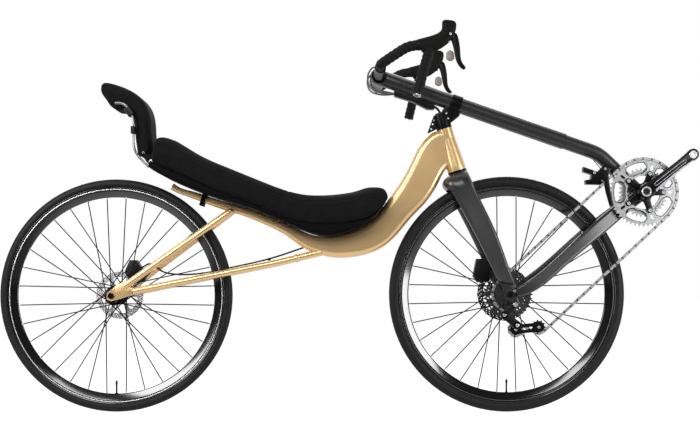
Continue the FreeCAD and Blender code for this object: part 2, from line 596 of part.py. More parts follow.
def make_spokes(label, axle, right_y, left_y):
    """Crossed spokes from both flanges to the rim, alternate ones inside and outside their flange."""
    centre = point(axle)
    count = int(number("Sizes.spoke_count"))
    radius = number("Sizes.spoke_radius")
    hole_radius = number("Sizes.flange_hole_radius")
    rim_reach = number(f"{RIM_INNER} - Sizes.spoke_gap")
    spoke_y = number("Sizes.flange_thickness") / 2 + radius
    step = 2 * math.pi / count
    swing = step * 2 * number("Sizes.spoke_crosses")
    bars = []
    for index in range(count):
        side = -right_y if index % 2 else left_y
        outward = math.copysign(1, side)
        pair = (index // 2) % 2
        seat = side + outward * ((spoke_y + number("Sizes.spoke_outer_gap")) if pair else
                                 -(spoke_y + number("Sizes.spoke_inner_gap")))
        rim_angle = (index + 0.5) * step
        hub_angle = rim_angle + (swing if pair else -swing) * 0.98
        start = centre + FreeCAD.Vector(hole_radius * math.cos(hub_angle), seat,
                                        hole_radius * math.sin(hub_angle))
        end = centre + FreeCAD.Vector(rim_reach * math.cos(rim_angle), outward * 1.2,
                                      rim_reach * math.sin(rim_angle))
        bars.append(Part.makeCylinder(radius, (end - start).Length, start, end - start))
    return keep(shaped(label, Part.makeCompound(bars)), label)


def make_rotor(label, axle, radius):
    """A brake disc: outer band, six arms and a hub ring."""
    centre = point(axle) + FreeCAD.Vector(0, number("Sizes.rotor_y"), 0)
    outer = number(radius)
    band = number("Sizes.rotor_band")
    thick = number("Sizes.rotor_thickness")
    across = FreeCAD.Vector(0, 1, 0)
    disc = Part.makeCylinder(outer, thick, centre, across)
    disc = disc.cut(Part.makeCylinder(outer - band, thick, centre, across))
    ring = Part.makeCylinder(21, thick, centre, across)
    for index in range(6):
        arm = Part.makeBox(outer - band + 2 - 14, thick, 7, centre + FreeCAD.Vector(14, 0, -3.5))
        arm.rotate(centre, across, index * 60)
        ring = ring.fuse(arm)
    ring = ring.fuse(disc).cut(Part.makeCylinder(number("Sizes.hub_radius + Sizes.seat_gap"), thick,
                                                 centre, across))
    return keep(shaped(label, ring.removeSplitter()), label)


def hub_profile(right_y, left_y, right_end, left_end, cap):
    """Corners of a flanged hub about its axle: right is towards -Y."""
    bore = "Sizes.axle_radius + Sizes.running_gap"
    half = "Sizes.flange_thickness / 2"
    return [
        (bore, f"-({right_end})"), (cap, f"-({right_end})"), (cap, f"-({right_y}) - {half} - 2"),
        ("Sizes.hub_radius", f"-({right_y}) - {half} - 2"), ("Sizes.hub_radius", f"-({right_y}) - {half}"),
        ("Sizes.flange_radius", f"-({right_y}) - {half}"), ("Sizes.flange_radius", f"-({right_y}) + {half}"),
        ("Sizes.flange_foot", f"-({right_y}) + {half}"), ("Sizes.hub_radius", f"-({right_y}) + {half} + 6"),
        ("Sizes.hub_radius", f"({left_y}) - {half} - 6"), ("Sizes.flange_foot", f"({left_y}) - {half}"),
        ("Sizes.flange_radius", f"({left_y}) - {half}"), ("Sizes.flange_radius", f"({left_y}) + {half}"),
        ("Sizes.hub_radius", f"({left_y}) + {half}"), ("Sizes.hub_radius", f"{left_end}"),
        (bore, f"{left_end}")]


END = "Sizes.hub_space / 2 - Sizes.hub_end_gap"
rear_rim = make_rim("rear_rim", REAR_AXLE)
make_tyre("rear_tyre", REAR_AXLE, REAR_RADIUS, "Sizes.rear_tyre_width", rear_rim)
make_spokes("rear_spokes", REAR_AXLE, number("Sizes.rear_flange_y"), number("Sizes.rear_flange_y"))
keep(turned("rear_hub", REAR_AXLE, ALONG_Y, hub_profile(
    "Sizes.rear_flange_y", "Sizes.rear_flange_y", END, END, "Sizes.rear_hub_cap_radius")), "rear_hub")
make_rotor("rear_rotor", REAR_AXLE, "Sizes.rear_rotor_radius")

front_rim = make_rim("front_rim", FRONT_AXLE)
make_tyre("front_tyre", FRONT_AXLE, FRONT_RADIUS, "Sizes.front_tyre_width", front_rim)
make_spokes("front_spokes", FRONT_AXLE, number("Sizes.front_flange_right_y"),
            number("Sizes.front_flange_left_y"))
keep(turned("front_hub", FRONT_AXLE, ALONG_Y, hub_profile(
    "Sizes.front_flange_right_y", "Sizes.front_flange_left_y", END, END, "Sizes.freehub_radius")), "front_hub")
make_rotor("front_rotor", FRONT_AXLE, "Sizes.front_rotor_radius")


# Cassette, chainrings and cranks ---------------------------------------------------------------------------
def pitch_radius(teeth):
    """Radius of a sprocket's pitch circle."""
    return number("Sizes.chain_pitch") / 2 / math.sin(math.pi / teeth)


def toothed_disc(centre, teeth, thick):
    """A sprocket's disc in the XZ plane, one trapezium a tooth, its first tooth pointing along +X."""
    tip = pitch_radius(teeth) + 3
    root = pitch_radius(teeth) - 3.6
    step = 2 * math.pi / teeth
    corners = []
    for index in range(int(teeth)):
        for share, radius in ((-0.30, root), (-0.09, tip), (0.09, tip), (0.30, root)):
            angle = (index + share) * step
            corners.append(centre + FreeCAD.Vector(radius * math.cos(angle), -thick / 2,
                                                   radius * math.sin(angle)))
    corners.append(corners[0])
    return Part.Face(Part.makePolygon(corners)).extrude(FreeCAD.Vector(0, thick, 0))


across = FreeCAD.Vector(0, 1, 0)
cassette_y = -number("Sizes.cassette_y")
space = number("Sizes.sprocket_space")
carrier_radius = number("Sizes.freehub_radius + 2.5")
sprockets = Part.makeCylinder(carrier_radius, space * 9 + 1, front + FreeCAD.Vector(0, cassette_y, 0), -across)
for index, teeth in enumerate((34, 30, 26, number("Sizes.chain_sprocket"), 21, 19, 17, 15, 13, 11)):
    middle = front + FreeCAD.Vector(0, cassette_y - index * space, 0)
    disc = toothed_disc(middle, teeth, number("Sizes.sprocket_thickness"))
    sprockets = sprockets.fuse(disc)
core = Part.makeCylinder(number("Sizes.freehub_radius + Sizes.seat_gap"), 60,
                         front + FreeCAD.Vector(0, cassette_y + 10, 0), -across)
keep(shaped("cassette", sprockets.cut(core)), "cassette")


def make_ring(label, side, teeth, windows, sleeve=0):
    """A chainring with its opening, five windows when asked for, and bolt sleeves of a length towards -Y."""
    middle = bracket + FreeCAD.Vector(0, -side, 0)
    thick = number("Sizes.ring_thickness")
    ring = toothed_disc(middle, teeth, thick)
    bolt_circle = number("Sizes.bolt_circle_radius")
    hole = Part.makeCylinder(bolt_circle - 7, thick * 2, middle + across * thick, -across)
    ring = ring.cut(hole)
    for index in range(5 if windows else 0):
        sector = Part.makeCylinder(pitch_radius(teeth) - 13, thick * 2, middle + across * thick, -across, 44)
        sector = sector.cut(Part.makeCylinder(bolt_circle + 4, thick * 2, middle + across * thick, -across))
        sector.rotate(middle, across, -index * 72 - 14)
        ring = ring.cut(sector)
    for index in range(5 if sleeve else 0):
        bolt = Part.makeCylinder(5, sleeve, middle + FreeCAD.Vector(bolt_circle, 0, 0), -across)
        bolt.rotate(middle, across, index * 72)
        ring = ring.fuse(bolt)
    return keep(shaped(label, ring), label)


make_ring("chainring_big", number("Sizes.ring_y"), number("Sizes.ring_teeth"), True)
make_ring("chainring_small", number("Sizes.small_ring_y"), number("Sizes.small_ring_teeth"), False,
          number("Sizes.ring_y - Sizes.small_ring_y - Sizes.ring_thickness / 2"))

crank_length = number("Sizes.crank_length")
arm_y = number("Sizes.crank_arm_y")
arm_thick = number("Sizes.crank_arm_thickness")
eye_radius = number("Sizes.pedal_eye_radius")


def make_arm(side, angle):
    """A crank arm with its eye, in the plane y = side, towards -Y when side is negative."""
    outward = math.copysign(1, side)
    centre = bracket + FreeCAD.Vector(0, side, 0)
    start = centre - FreeCAD.Vector(0, arm_thick / 2, 0)
    boss = Part.makeCylinder(21, arm_thick, start, across)
    eye_centre = start + FreeCAD.Vector(crank_length, 0, 0)
    eye = Part.makeCylinder(14, arm_thick, eye_centre, across)
    corners = [(10, -17), (crank_length - 8, -13), (crank_length - 8, 13), (10, 17)]
    outline = [start + FreeCAD.Vector(x, 0, z) for x, z in corners]
    outline.append(outline[0])
    blade = Part.Face(Part.makePolygon(outline)).extrude(FreeCAD.Vector(0, arm_thick, 0))
    arm = boss.fuse(blade).fuse(eye)
    arm = arm.cut(Part.makeCylinder(eye_radius, arm_thick, eye_centre, across))
    arm = arm.removeSplitter()
    arm.rotate(centre, across, -angle)
    return arm, outward


crank_angle = number("Sizes.crank_angle")
arm_right, _ = make_arm(-arm_y, crank_angle)
spider = Part.makeCylinder(24, arm_y - number("Sizes.ring_y") - 1, bracket - across * (arm_y - 1), across)
ring_face = number("Sizes.ring_y") + number("Sizes.ring_thickness") / 2
for index in range(5):
    finger = Part.makeBox(number("Sizes.bolt_circle_radius") - 6, 5, 14,
                          bracket + FreeCAD.Vector(12, -ring_face - 5, -7))
    finger.rotate(bracket, across, index * 72)
    tip = Part.makeCylinder(8, 5, bracket + FreeCAD.Vector(number("Sizes.bolt_circle_radius"),
                                                           -ring_face - 5, 0), across)
    tip.rotate(bracket, across, index * 72)
    spider = spider.fuse(finger).fuse(tip)
spindle_hole = Part.makeCylinder(number("Sizes.spindle_radius + Sizes.seat_gap"), 60,
                                 bracket - across * (arm_y + arm_thick / 2 - 4), across)
keep(shaped("crank_arm_right", arm_right.fuse(spider).cut(spindle_hole).removeSplitter()), "crank_arm_right")
arm_left, _ = make_arm(arm_y, crank_angle + 180)
spindle_hole_left = Part.makeCylinder(number("Sizes.spindle_radius + Sizes.seat_gap"), 60,
                                      bracket + across * (arm_y + arm_thick / 2 - 4), -across)
keep(shaped("crank_arm_left", arm_left.cut(spindle_hole_left)), "crank_arm_left")
keep(cross_rod("crank_spindle", BRACKET, "Sizes.crank_arm_y + Sizes.crank_arm_thickness / 2 - 4",
               "Sizes.spindle_radius"), "crank_spindle")


# Chain ------------------------------------------------------------------------------------------------------
def belt(wheels, grow):
    """A closed wire of tangents and arcs round wheels, each (x, z, radius, turn): turn 1 or -1."""
    spots = []
    for (x1, z1, r1, turn1), (x2, z2, r2, turn2) in zip(wheels, wheels[1:] + wheels[:1]):
        r1, r2 = (r1 + grow * turn1) * turn1, (r2 + grow * turn2) * turn2
        length = math.hypot(x2 - x1, z2 - z1)
        heading = math.atan2(z2 - z1, x2 - x1) + math.asin((r1 - r2) / length)
        side = heading - math.pi / 2
        spots.append(((x1 + r1 * math.cos(side), z1 + r1 * math.sin(side)),
                      (x2 + r2 * math.cos(side), z2 + r2 * math.sin(side)), side))
    edges = []
    for index, (leave, arrive, side) in enumerate(spots):
        edges.append(Part.LineSegment(FreeCAD.Vector(leave[0], 0, leave[1]),
                                      FreeCAD.Vector(arrive[0], 0, arrive[1])).toShape())
        x, z, radius, turn = wheels[(index + 1) % len(wheels)]
        leave_next, _, side_next = spots[(index + 1) % len(wheels)]
        swept = (side_next - side) * turn % (2 * math.pi) * turn
        reach = (radius + grow * turn) * turn
        middle = side + swept / 2
        edges.append(Part.Arc(FreeCAD.Vector(arrive[0], 0, arrive[1]),
                              FreeCAD.Vector(x + reach * math.cos(middle), 0, z + reach * math.sin(middle)),
                              FreeCAD.Vector(leave_next[0], 0, leave_next[1])).toShape())
    return Part.Wire(edges)


pulley_radius = number("Sizes.pulley_radius")
guide = front + point(("Sizes.guide_x", "0", "Sizes.guide_z"))
tension = front + point(("Sizes.tension_x", "0", "Sizes.tension_z"))
# anticlockwise from the ring, seen with +X to the right: back along the top run
chain_wheels = [
    (bracket.x, bracket.z, pitch_radius(number("Sizes.ring_teeth")), 1),
    (front.x, front.z, pitch_radius(number("Sizes.chain_sprocket")), 1),
    (guide.x, guide.z, pulley_radius, -1),
    (tension.x, tension.z, pulley_radius, 1)]
half_height = number("Sizes.chain_height") / 2
loop = Part.Face([belt(chain_wheels, half_height), belt(chain_wheels, -half_height)], "Part::FaceMakerBullseye")
chain_plate = number("Sizes.chain_plate")
half_gap = number("Sizes.chain_half_gap")
chain_sides = []
for start in (-half_gap - chain_plate, half_gap):
    side_plate = loop.extrude(FreeCAD.Vector(0, chain_plate, 0))
    side_plate.translate(FreeCAD.Vector(0, start - number("Sizes.ring_y"), 0))
    chain_sides.append(side_plate)
keep(shaped("chain", Part.makeCompound(chain_sides)), "chain")

# Brake calipers: each a block over its disc's edge, open in the disc's plane -----------------------------------
caliper_inner = "(Sizes.rotor_y - Sizes.caliper_wall - Sizes.rotor_gap)"
caliper_length = f"Sizes.hub_space / 2 - {caliper_inner}"


def make_caliper(label, axle, outline, rotor_radius, *neighbours):
    """A caliper from its outline about the axle, cut clear of the disc and of its neighbours."""
    x, _, z = axle
    blank = plate(label + "Blank", (x, caliper_inner, z), outline, caliper_length)
    slot = rod(label + "Slot", (x, "(Sizes.rotor_y - Sizes.rotor_gap)", z),
               (x, "(Sizes.rotor_y + Sizes.rotor_thickness + Sizes.rotor_gap)", z), f"{rotor_radius} + 5")
    return keep(cut(label, blank, slot, *neighbours), label)


rear_caliper = make_caliper("rear_caliper", REAR_AXLE, [
    ("14", "68"), ("30", "104"), ("50", "104"), ("80", "58"), ("74", "42"), ("36", "34")],
    "Sizes.rear_rotor_radius", twins["seatstay"], twins["chainstay"])
make_caliper("front_caliper", FRONT_AXLE, [
    ("-92", "52"), ("-82", "104"), ("-60", "104"), ("-36", "56"), ("-44", "38"), ("-80", "34")],
    "Sizes.front_rotor_radius", leg_twin)

# Derailleurs ------------------------------------------------------------------------------------------------
chain_y = -number("Sizes.ring_y")
cage_gap = number("Sizes.cage_gap")
cage_thick = number("Sizes.cage_thickness")
hanger = front + point(("Sizes.hanger_x", "-Sizes.hub_space / 2 - Sizes.dropout_thickness",
                        "Sizes.hanger_z"))


def cross_bar(middle, low_y, high_y, radius):
    """A round solid across the bicycle at a spot, from one y to another."""
    start = FreeCAD.Vector(middle.x, low_y, middle.z)
    return Part.makeCylinder(radius, high_y - low_y, start, across)


def strip(first, second, half_width, low_y, high_y):
    """A flat strip between two spots, with straight sides."""
    way = FreeCAD.Vector(second.x - first.x, 0, second.z - first.z).normalize()
    aside = FreeCAD.Vector(-way.z, 0, way.x) * half_width
    corners = []
    for spot, sign in ((first, 1), (second, 1), (second, -1), (first, -1)):
        corners.append(FreeCAD.Vector(spot.x, low_y, spot.z) + aside * sign)
    corners.append(corners[0])
    return Part.Face(Part.makePolygon(corners)).extrude(FreeCAD.Vector(0, high_y - low_y, 0))


outer_y = hanger.y - 14
upper_knuckle = hanger + FreeCAD.Vector(-32, 0, -30)
lower_knuckle = FreeCAD.Vector(guide.x - 2, hanger.y, guide.z + 14)
derailleur = cross_bar(hanger, outer_y, hanger.y, 9)
derailleur = derailleur.fuse(strip(hanger, upper_knuckle, 9, outer_y, hanger.y - 4))
derailleur = derailleur.fuse(cross_bar(upper_knuckle, outer_y, hanger.y - 2, 10))
derailleur = derailleur.fuse(strip(upper_knuckle, lower_knuckle, 9, outer_y, hanger.y - 4))
derailleur = derailleur.fuse(cross_bar(lower_knuckle, outer_y, chain_y - cage_gap - cage_thick, 12))
for side_y in (chain_y - cage_gap - cage_thick, chain_y + cage_gap):
    derailleur = derailleur.fuse(strip(guide, tension, 6, side_y, side_y + cage_thick))
    for wheel in (guide, tension):
        derailleur = derailleur.fuse(cross_bar(wheel, side_y, side_y + cage_thick, 10))
for wheel in (guide, tension):
    derailleur = derailleur.fuse(cross_bar(wheel, chain_y - cage_gap, chain_y + cage_gap, 4))
    derailleur = derailleur.fuse(cross_bar(wheel, chain_y - 1.1, chain_y + 1.1, pulley_radius))
keep(shaped("rear_derailleur", derailleur), "rear_derailleur")

front_body = plate("FrontDerailleurBody", (BRACKET[0], "-Sizes.ring_y + Sizes.cage_gap", BRACKET[2]), [
    ("-148", "52"), ("-172", "60"), ("-172", "74"), ("-132", "60"), ("-112", "78"), ("-92", "68"),
    ("-104", "40"), ("-104", "22"), ("-164", "24"), ("-166", "36"), ("-150", "38")], "26")
cage_outline = [
    ("-117", "40"), ("-115", "62"), ("-104", "62"), ("-101", "34"), ("-97", "6"), ("-88", "-38"),
    ("-97", "-42"), ("-109", "0")]
cage_out = plate("CageOuter", (BRACKET[0], "-Sizes.ring_y - Sizes.cage_gap - Sizes.cage_thickness",
                               BRACKET[2]), cage_outline, "Sizes.cage_thickness")
cage_in = plate("CageInner", (BRACKET[0], "-Sizes.ring_y + Sizes.cage_gap - Sizes.cage_thickness",
                              BRACKET[2]), cage_outline, "Sizes.cage_thickness")
cage_bridge = plate("CageBridge", (BRACKET[0], "-Sizes.ring_y - Sizes.cage_gap - Sizes.cage_thickness",
                                   BRACKET[2]), [
    ("-115", "50"), ("-115", "62"), ("-104", "62"), ("-104", "50")], "Sizes.cage_gap * 2 + Sizes.cage_thickness")
front_derailleur = fuse("FrontDerailleurFull", front_body, cage_out, cage_in, cage_bridge)
keep(cut("front_derailleur", front_derailleur, boom_inner), "front_derailleur")

# Hoses ------------------------------------------------------------------------------------------------------
hose_radius = number("Sizes.hose_radius")


def hosed(label, points):
    """A hose along its route, each arc as large as its two runs allow."""
    bends = []
    for before, corner, after in zip(points, points[1:], points[2:]):
        turn = (corner - before).getAngle(after - corner)
        bends.append(0.45 * min((corner - before).Length, (after - corner).Length) / math.tan(turn / 2))
    return piped(label, points, bends, hose_radius)


stay_front, stay_bend = chainstay_points[0], chainstay_points[1]


def beside_stay(share, y, above):
    """A spot above the chainstay's rear run, a share of the way from its bend to the axle."""
    spot = stay_bend + (rear - stay_bend) * share
    return FreeCAD.Vector(spot.x, y, spot.z + above)


# the first two spots from the chainstay's front end, the next two along its rear run
rear_route = [FreeCAD.Vector(stay_front.x - 30, 6, stay_front.z + 22),
              FreeCAD.Vector(stay_bend.x - 24, 32, stay_bend.z + 11),
              beside_stay(0.476, 58, 14.3), beside_stay(0.622, 60, 24.1)]
# columns: x, y and z from the rear axle
rear_route += [rear + FreeCAD.Vector(*spot) for spot in ((126, 46, 67), (91, 48, 98), (62, 50, 80))]
clip_length = number("Sizes.clip_length")
rear_clips = []
for spot in rear_route[1:3]:
    rear_clips.append(Part.makeBox(clip_length, 8, 14, spot - FreeCAD.Vector(clip_length / 2, 5, 10)))
rear_hose = shaped("RearHoseClipped", hosed("RearHosePipe", rear_route).Shape.fuse(rear_clips))
keep(cut("rear_brake_hose", rear_hose, beam_full, twins["chainstay"], rear_caliper), "rear_brake_hose")

# columns: x, y and z from the bar's middle
bar_hose_pieces = []
for name, route in (
        ("BarHoseOuter", ((6, 60, 8), (-18, 52, 24), (-36, 40, -2), (-28, 26, -38), (8, 15, -50), (46, 9, -48))),
        ("BarHoseInner", ((6, 40, 6), (-15, 36, 18), (-27, 30, -6), (-18, 20, -34), (12, 5, -42), (46, 3.4, -48)))):
    loop_hose = hosed(name + "Pipe", [bar + FreeCAD.Vector(*spot) for spot in route])
    loop_cut = cut(name, loop_hose, bar_full, cable_box_full)
    bar_hose_pieces += [loop_cut, twin(name + "Twin", loop_cut)]
keep(together("bar_hoses", *bar_hose_pieces), "bar_hoses")
# from the boom's underside into the steerer's top; columns: distance along the boom, depth below its middle
hose_points = []
for distance, depth in ((165, 28), (181, 32)):
    hose_points.append(point(along(BAR, BOOM_FRONT, str(distance))) + FreeCAD.Vector(0, 6, -depth))
hose_points.append(head + axis * (head_length + 46) + FreeCAD.Vector(3, 6, 0))
drop_hose = hosed("SteererHosePipe", hose_points)
drop_hose_cut = cut("SteererHose", drop_hose, cable_box_full, steerer)
keep(together("steerer_hoses", drop_hose_cut, twin("SteererHoseTwin", drop_hose_cut)), "steerer_hoses")

# Write ------------------------------------------------------------------------------------------------------
doc.recompute()
for item in doc.Objects:
    if {"Invalid", "Error"} & set(item.State):
        raise RuntimeError(f"{item.Label} failed: {item.State}")
for piece in pieces:
    if piece.Shape.isNull() or not piece.Shape.isValid() or not piece.Shape.Solids:
        raise RuntimeError(f"{piece.Label} has no sound shape")
os.makedirs("parts", exist_ok=True)
for piece in pieces:
    piece.Shape.exportStep(f"parts/{piece.Label}.step")
    print(f"{piece.Label}: {len(piece.Shape.Solids)} solids, {piece.Shape.Volume / 1000:.1f} cm3")
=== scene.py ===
import json
import math
import bpy
import bmesh
import numpy as np
from mathutils import Matrix, Vector


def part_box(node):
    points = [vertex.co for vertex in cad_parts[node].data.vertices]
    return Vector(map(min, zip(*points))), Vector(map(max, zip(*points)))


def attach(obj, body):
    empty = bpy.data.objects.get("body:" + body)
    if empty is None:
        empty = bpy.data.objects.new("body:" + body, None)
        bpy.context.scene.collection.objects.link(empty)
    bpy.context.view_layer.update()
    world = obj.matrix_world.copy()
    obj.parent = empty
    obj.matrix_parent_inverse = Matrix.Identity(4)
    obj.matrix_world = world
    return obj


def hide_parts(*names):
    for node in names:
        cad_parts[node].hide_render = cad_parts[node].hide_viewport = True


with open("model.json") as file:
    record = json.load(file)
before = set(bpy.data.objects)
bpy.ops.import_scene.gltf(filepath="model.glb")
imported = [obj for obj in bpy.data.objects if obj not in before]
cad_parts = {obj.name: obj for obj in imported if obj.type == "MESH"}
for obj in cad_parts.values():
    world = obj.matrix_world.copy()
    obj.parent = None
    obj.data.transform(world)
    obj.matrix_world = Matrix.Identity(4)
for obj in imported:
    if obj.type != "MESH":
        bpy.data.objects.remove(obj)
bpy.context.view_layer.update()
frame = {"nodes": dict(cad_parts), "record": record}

# ---------------------------------------------------------------------------
# Frame: welded aluminium tubes in champagne-gold lacquer, with plate dropouts at the rear axle and a
# collar welded round each chainstay. Sizes are millimetres until MM makes them metres, and the places
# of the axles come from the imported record's joints.
MM = 0.001
joints = {joint["name"]: joint for joint in frame["record"]["behaviour"]["joints"]}
REAR_AXLE = Vector(joints["rear_wheel_spin"]["pos_m"])
ACROSS = Vector((0, 1, 0))
finishes = {}


def linear(hexa):
    """A hex sRGB colour as the linear RGBA that Blender's shaders take."""
    parts = [int(hexa[i:i + 2], 16) / 255 for i in (0, 2, 4)]
    return (*[p / 12.92 if p <= 0.04045 else ((p + 0.055) / 1.055) ** 2.4 for p in parts], 1.0)


def grey(value):
    """A number carried as a colour."""
    return (value, value, value, 1.0)


def per(size):
    """The scale of a pattern whose marks are a size in millimetres."""
    return 1000 / size


def blank(name, slot=None, **sockets):
    """A material with one Principled shader, its sockets set by name, and the link that lays a pattern
    out on its piece. It is kept under its name with the record's slot that it shows."""
    made = bpy.data.materials.new(name)
    made.use_nodes = True
    shader = made.node_tree.nodes["Principled BSDF"]
    for socket, value in sockets.items():
        shader.inputs[socket.replace("_", " ")].default_value = value
    finishes[name] = (made, slot or name)
    return made.node_tree, shader.inputs, [("Vector", add(made.node_tree, "TexCoord", "Object"))]


def add(tree, kind, out, links=(), stops=(), into=None, **settings):
    """One node, of which the output out is given back. Links are (input, source) pairs, stops a colour
    ramp's (place, colour) pairs with colours in hex or linear, into an input that the output feeds, and
    settings its other values."""
    made = tree.nodes.new("ShaderNode" + kind)
    for name, value in settings.items():
        label = name.replace("_", " ")
        if label in made.inputs:
            made.inputs[label].default_value = value
        else:
            setattr(made, name, value)
    for name, source in links:
        tree.links.new(source, made.inputs[name])
    for index, (place, colour) in enumerate(stops):
        made.color_ramp.elements[index].position = place
        made.color_ramp.elements[index].color = linear(colour) if isinstance(colour, str) else colour
    if into:
        tree.links.new(made.outputs[out], into)
    return made.outputs[out]


# Metallic lacquer, sprayed and clear-coated: a sparkle of flake, drawn at 1.1 mm so that it shows, an
# orange peel of 3.8 mm, and soft clouds of 70 mm in its gloss.
tree, gold, place = blank("gold_paint", Metallic=0.7, Coat_Weight=0.3, Coat_Roughness=0.1)
flake = add(tree, "TexNoise", "Fac", place, Scale=per(1.1), Detail=2)
cloud = add(tree, "TexNoise", "Fac", place, Scale=per(70), Detail=2)
peel = add(tree, "TexNoise", "Fac", place, Scale=per(3.8), Detail=1)
add(tree, "ValToRGB", "Color", [("Fac", flake)], [(0.35, "d0aa75"), (0.65, "dfbf8f")], gold["Base Color"])
add(tree, "ValToRGB", "Color", [("Fac", cloud)], [(0.3, grey(0.29)), (0.7, grey(0.33))], gold["Roughness"])
add(tree, "Bump", "Normal", [("Height", peel)], into=gold["Normal"], Strength=0.03, Distance=0.0003)


def metal(name, hexa, roughness, mark=2.0, depth=0.1, shine=0.95, slot=None):
    """Bare or anodised metal: machining and handling marks, finer on the real one and drawn at 2 mm or
    more so that they show, vary its colour by a quarter and its gloss by a fifth either way."""
    tree, shader, place = blank(name, slot, Metallic=shine)
    marks = add(tree, "TexNoise", "Fac", place, Scale=per(mark), Detail=4)
    colour = linear(hexa)
    darker = (*[part * 0.75 for part in colour[:3]], 1.0)
    add(tree, "ValToRGB", "Color", [("Fac", marks)], [(0.3, darker), (0.7, colour)], shader["Base Color"])
    add(tree, "ValToRGB", "Color", [("Fac", marks)], [(0.2, grey(roughness * 0.8)), (0.8, grey(roughness * 1.25))],
        shader["Roughness"])
    add(tree, "Bump", "Normal", [("Height", marks)], into=shader["Normal"], Strength=depth, Distance=0.0002)


metal("black_alloy", "0f0f10", 0.38, shine=0.8)  # anodised aluminium: black, satin


def at(origin, x, y, z):
    """A spot in millimetres from an origin."""
    return origin + Vector((x, y, z)) * MM


def shown(name, data):
    """A new object in the scene."""
    made = bpy.data.objects.new(name, data)
    bpy.context.scene.collection.objects.link(made)
    return made


def piece(name, mesh, finish, body, *nodes, smooth=35):
    """A finished piece that rides on a body and stands for CAD nodes; its flatter edges are smooth."""
    mesh.name = name
    made = shown(name, mesh)
    material, slot = finishes[finish]
    mesh.materials.clear()
    mesh.materials.append(material)
    mesh.shade_smooth()
    mesh.set_sharp_from_angle(angle=math.radians(smooth))
    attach(made, body)
    if nodes:
        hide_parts(*nodes)
    return made


def tidy(mesh):
    """Welds a mesh's doubles and turns its faces outwards."""
    work = bmesh.new()
    work.from_mesh(mesh)
    bmesh.ops.remove_doubles(work, verts=work.verts, dist=0.000004)
    bmesh.ops.recalc_face_normals(work, faces=work.faces)
    work.to_mesh(mesh)
    work.free()


def skin(grid, wrap=False):
    """A mesh on a grid of points, rings by spots: face (ring, spot) joins each point to the next spot and
    the next ring. Rings are closed, and wrap joins the last to the first in place of flat ends."""
    rings, count = grid.shape[:2]
    ring, spot = np.meshgrid(np.arange(rings if wrap else rings - 1), np.arange(count), indexing="ij")
    after, beside = (ring + 1) % rings * count, (spot + 1) % count
    quads = np.stack([ring * count + spot, ring * count + beside, after + beside, after + spot], -1)
    faces = quads.reshape(-1, 4).tolist()
    uvs = np.stack([np.stack([ring, ring, ring + 1, ring + 1], -1) / rings,
                    np.stack([spot, spot + 1, spot + 1, spot], -1) / count], -1).reshape(-1, 2)
    if not wrap:
        end = np.arange(count)
        faces += [end[::-1].tolist(), (end + (rings - 1) * count).tolist()]
        uvs = np.concatenate([uvs, np.zeros((2 * count, 2))])
    mesh = bpy.data.meshes.new("skin")
    mesh.from_pydata(grid.reshape(-1, 3), [], faces)
    mesh.uv_layers.new(name="UVMap").data.foreach_set("uv", uvs.ravel())
    tidy(mesh)
    return mesh


def joined(meshes):
    """Several meshes as one."""
    work = bmesh.new()
    for mesh in meshes:
        work.from_mesh(mesh)
    made = bpy.data.meshes.new("joined")
    work.to_mesh(made)
    work.free()
    return made


def moved(mesh, matrix):
    """A copy of a mesh, moved."""
    copy = mesh.copy()
    copy.transform(matrix)
    if matrix.determinant() < 0:
        copy.flip_normals()
    return copy


def round_turn(count):
    """Angles once round a circle, in even steps."""
    return np.linspace(0, 2 * np.pi, count, endpoint=False)


def lathe(centre, profile, segments):
    """A closed profile of (radius, y) turned about the Y axis through a centre: x and z are the radius
    times the angle's cosine and sine."""
    angle = round_turn(segments)[:, None]
    radius, y = np.array(profile, dtype=float).T
    grid = np.stack([radius * np.cos(angle), y + 0 * angle, radius * np.sin(angle)], -1)
    return skin(np.array(centre) + grid * MM, wrap=True)


def facing(start, way):
    """The matrix that carries the Z axis at the origin to a way at a start."""
    return Matrix.Translation(Vector(start)) @ Vector(way).to_track_quat("Z", "Y").to_matrix().to_4x4()


def spindle(rise, reach, angle, start, way):
    """A solid of rings square to a way from a start, each of a rise along it and a reach at each angle:
    aside from the way, a point is its reach times the angle's cosine and sine."""
    grid = np.stack([reach * np.cos(angle), reach * np.sin(angle), rise + 0 * angle], -1)
    return moved(skin(grid * MM), facing(start, way))


def screw(start, way, radius, height, socket=0.55):
    """A socket-head screw: rings of (height, radius), rounded at the rim. The recess is six-sided, its
    reach being cos 30 over the cosine of the angle from the nearest flat's middle."""
    angle = round_turn(24)
    sixes = math.cos(math.pi / 6) / np.cos(angle % (np.pi / 3) - np.pi / 6)
    rise, reach, inner = np.array([
        (0, radius, 0), (height * 0.75, radius, 0), (height, radius * 0.86, 0), (height, radius * socket, 1),
        (height * 0.35, radius * socket, 1), (height * 0.3, radius * 0.02, 0)]).T[..., None]
    return spindle(rise, reach * np.where(inner > 0, sixes, 1.0), angle, start, way)


def screws(name, body, finish, rows):
    """A group of screws as one piece: rows of start, way, radius and height."""
    return piece(name, joined([screw(*row) for row in rows]), finish, body, smooth=30)


def evaluated(holder):
    """The mesh of an object as its modifiers leave it; the object goes."""
    made = bpy.data.meshes.new_from_object(holder.evaluated_get(bpy.context.evaluated_depsgraph_get()))
    bpy.data.objects.remove(holder)
    return made


def settled(mesh, kind, **settings):
    """A mesh with one modifier applied."""
    holder = shown("settled", mesh)
    modifier = holder.modifiers.new(kind.lower(), kind)
    for setting, value in settings.items():
        setattr(modifier, setting, value)
    return evaluated(holder)


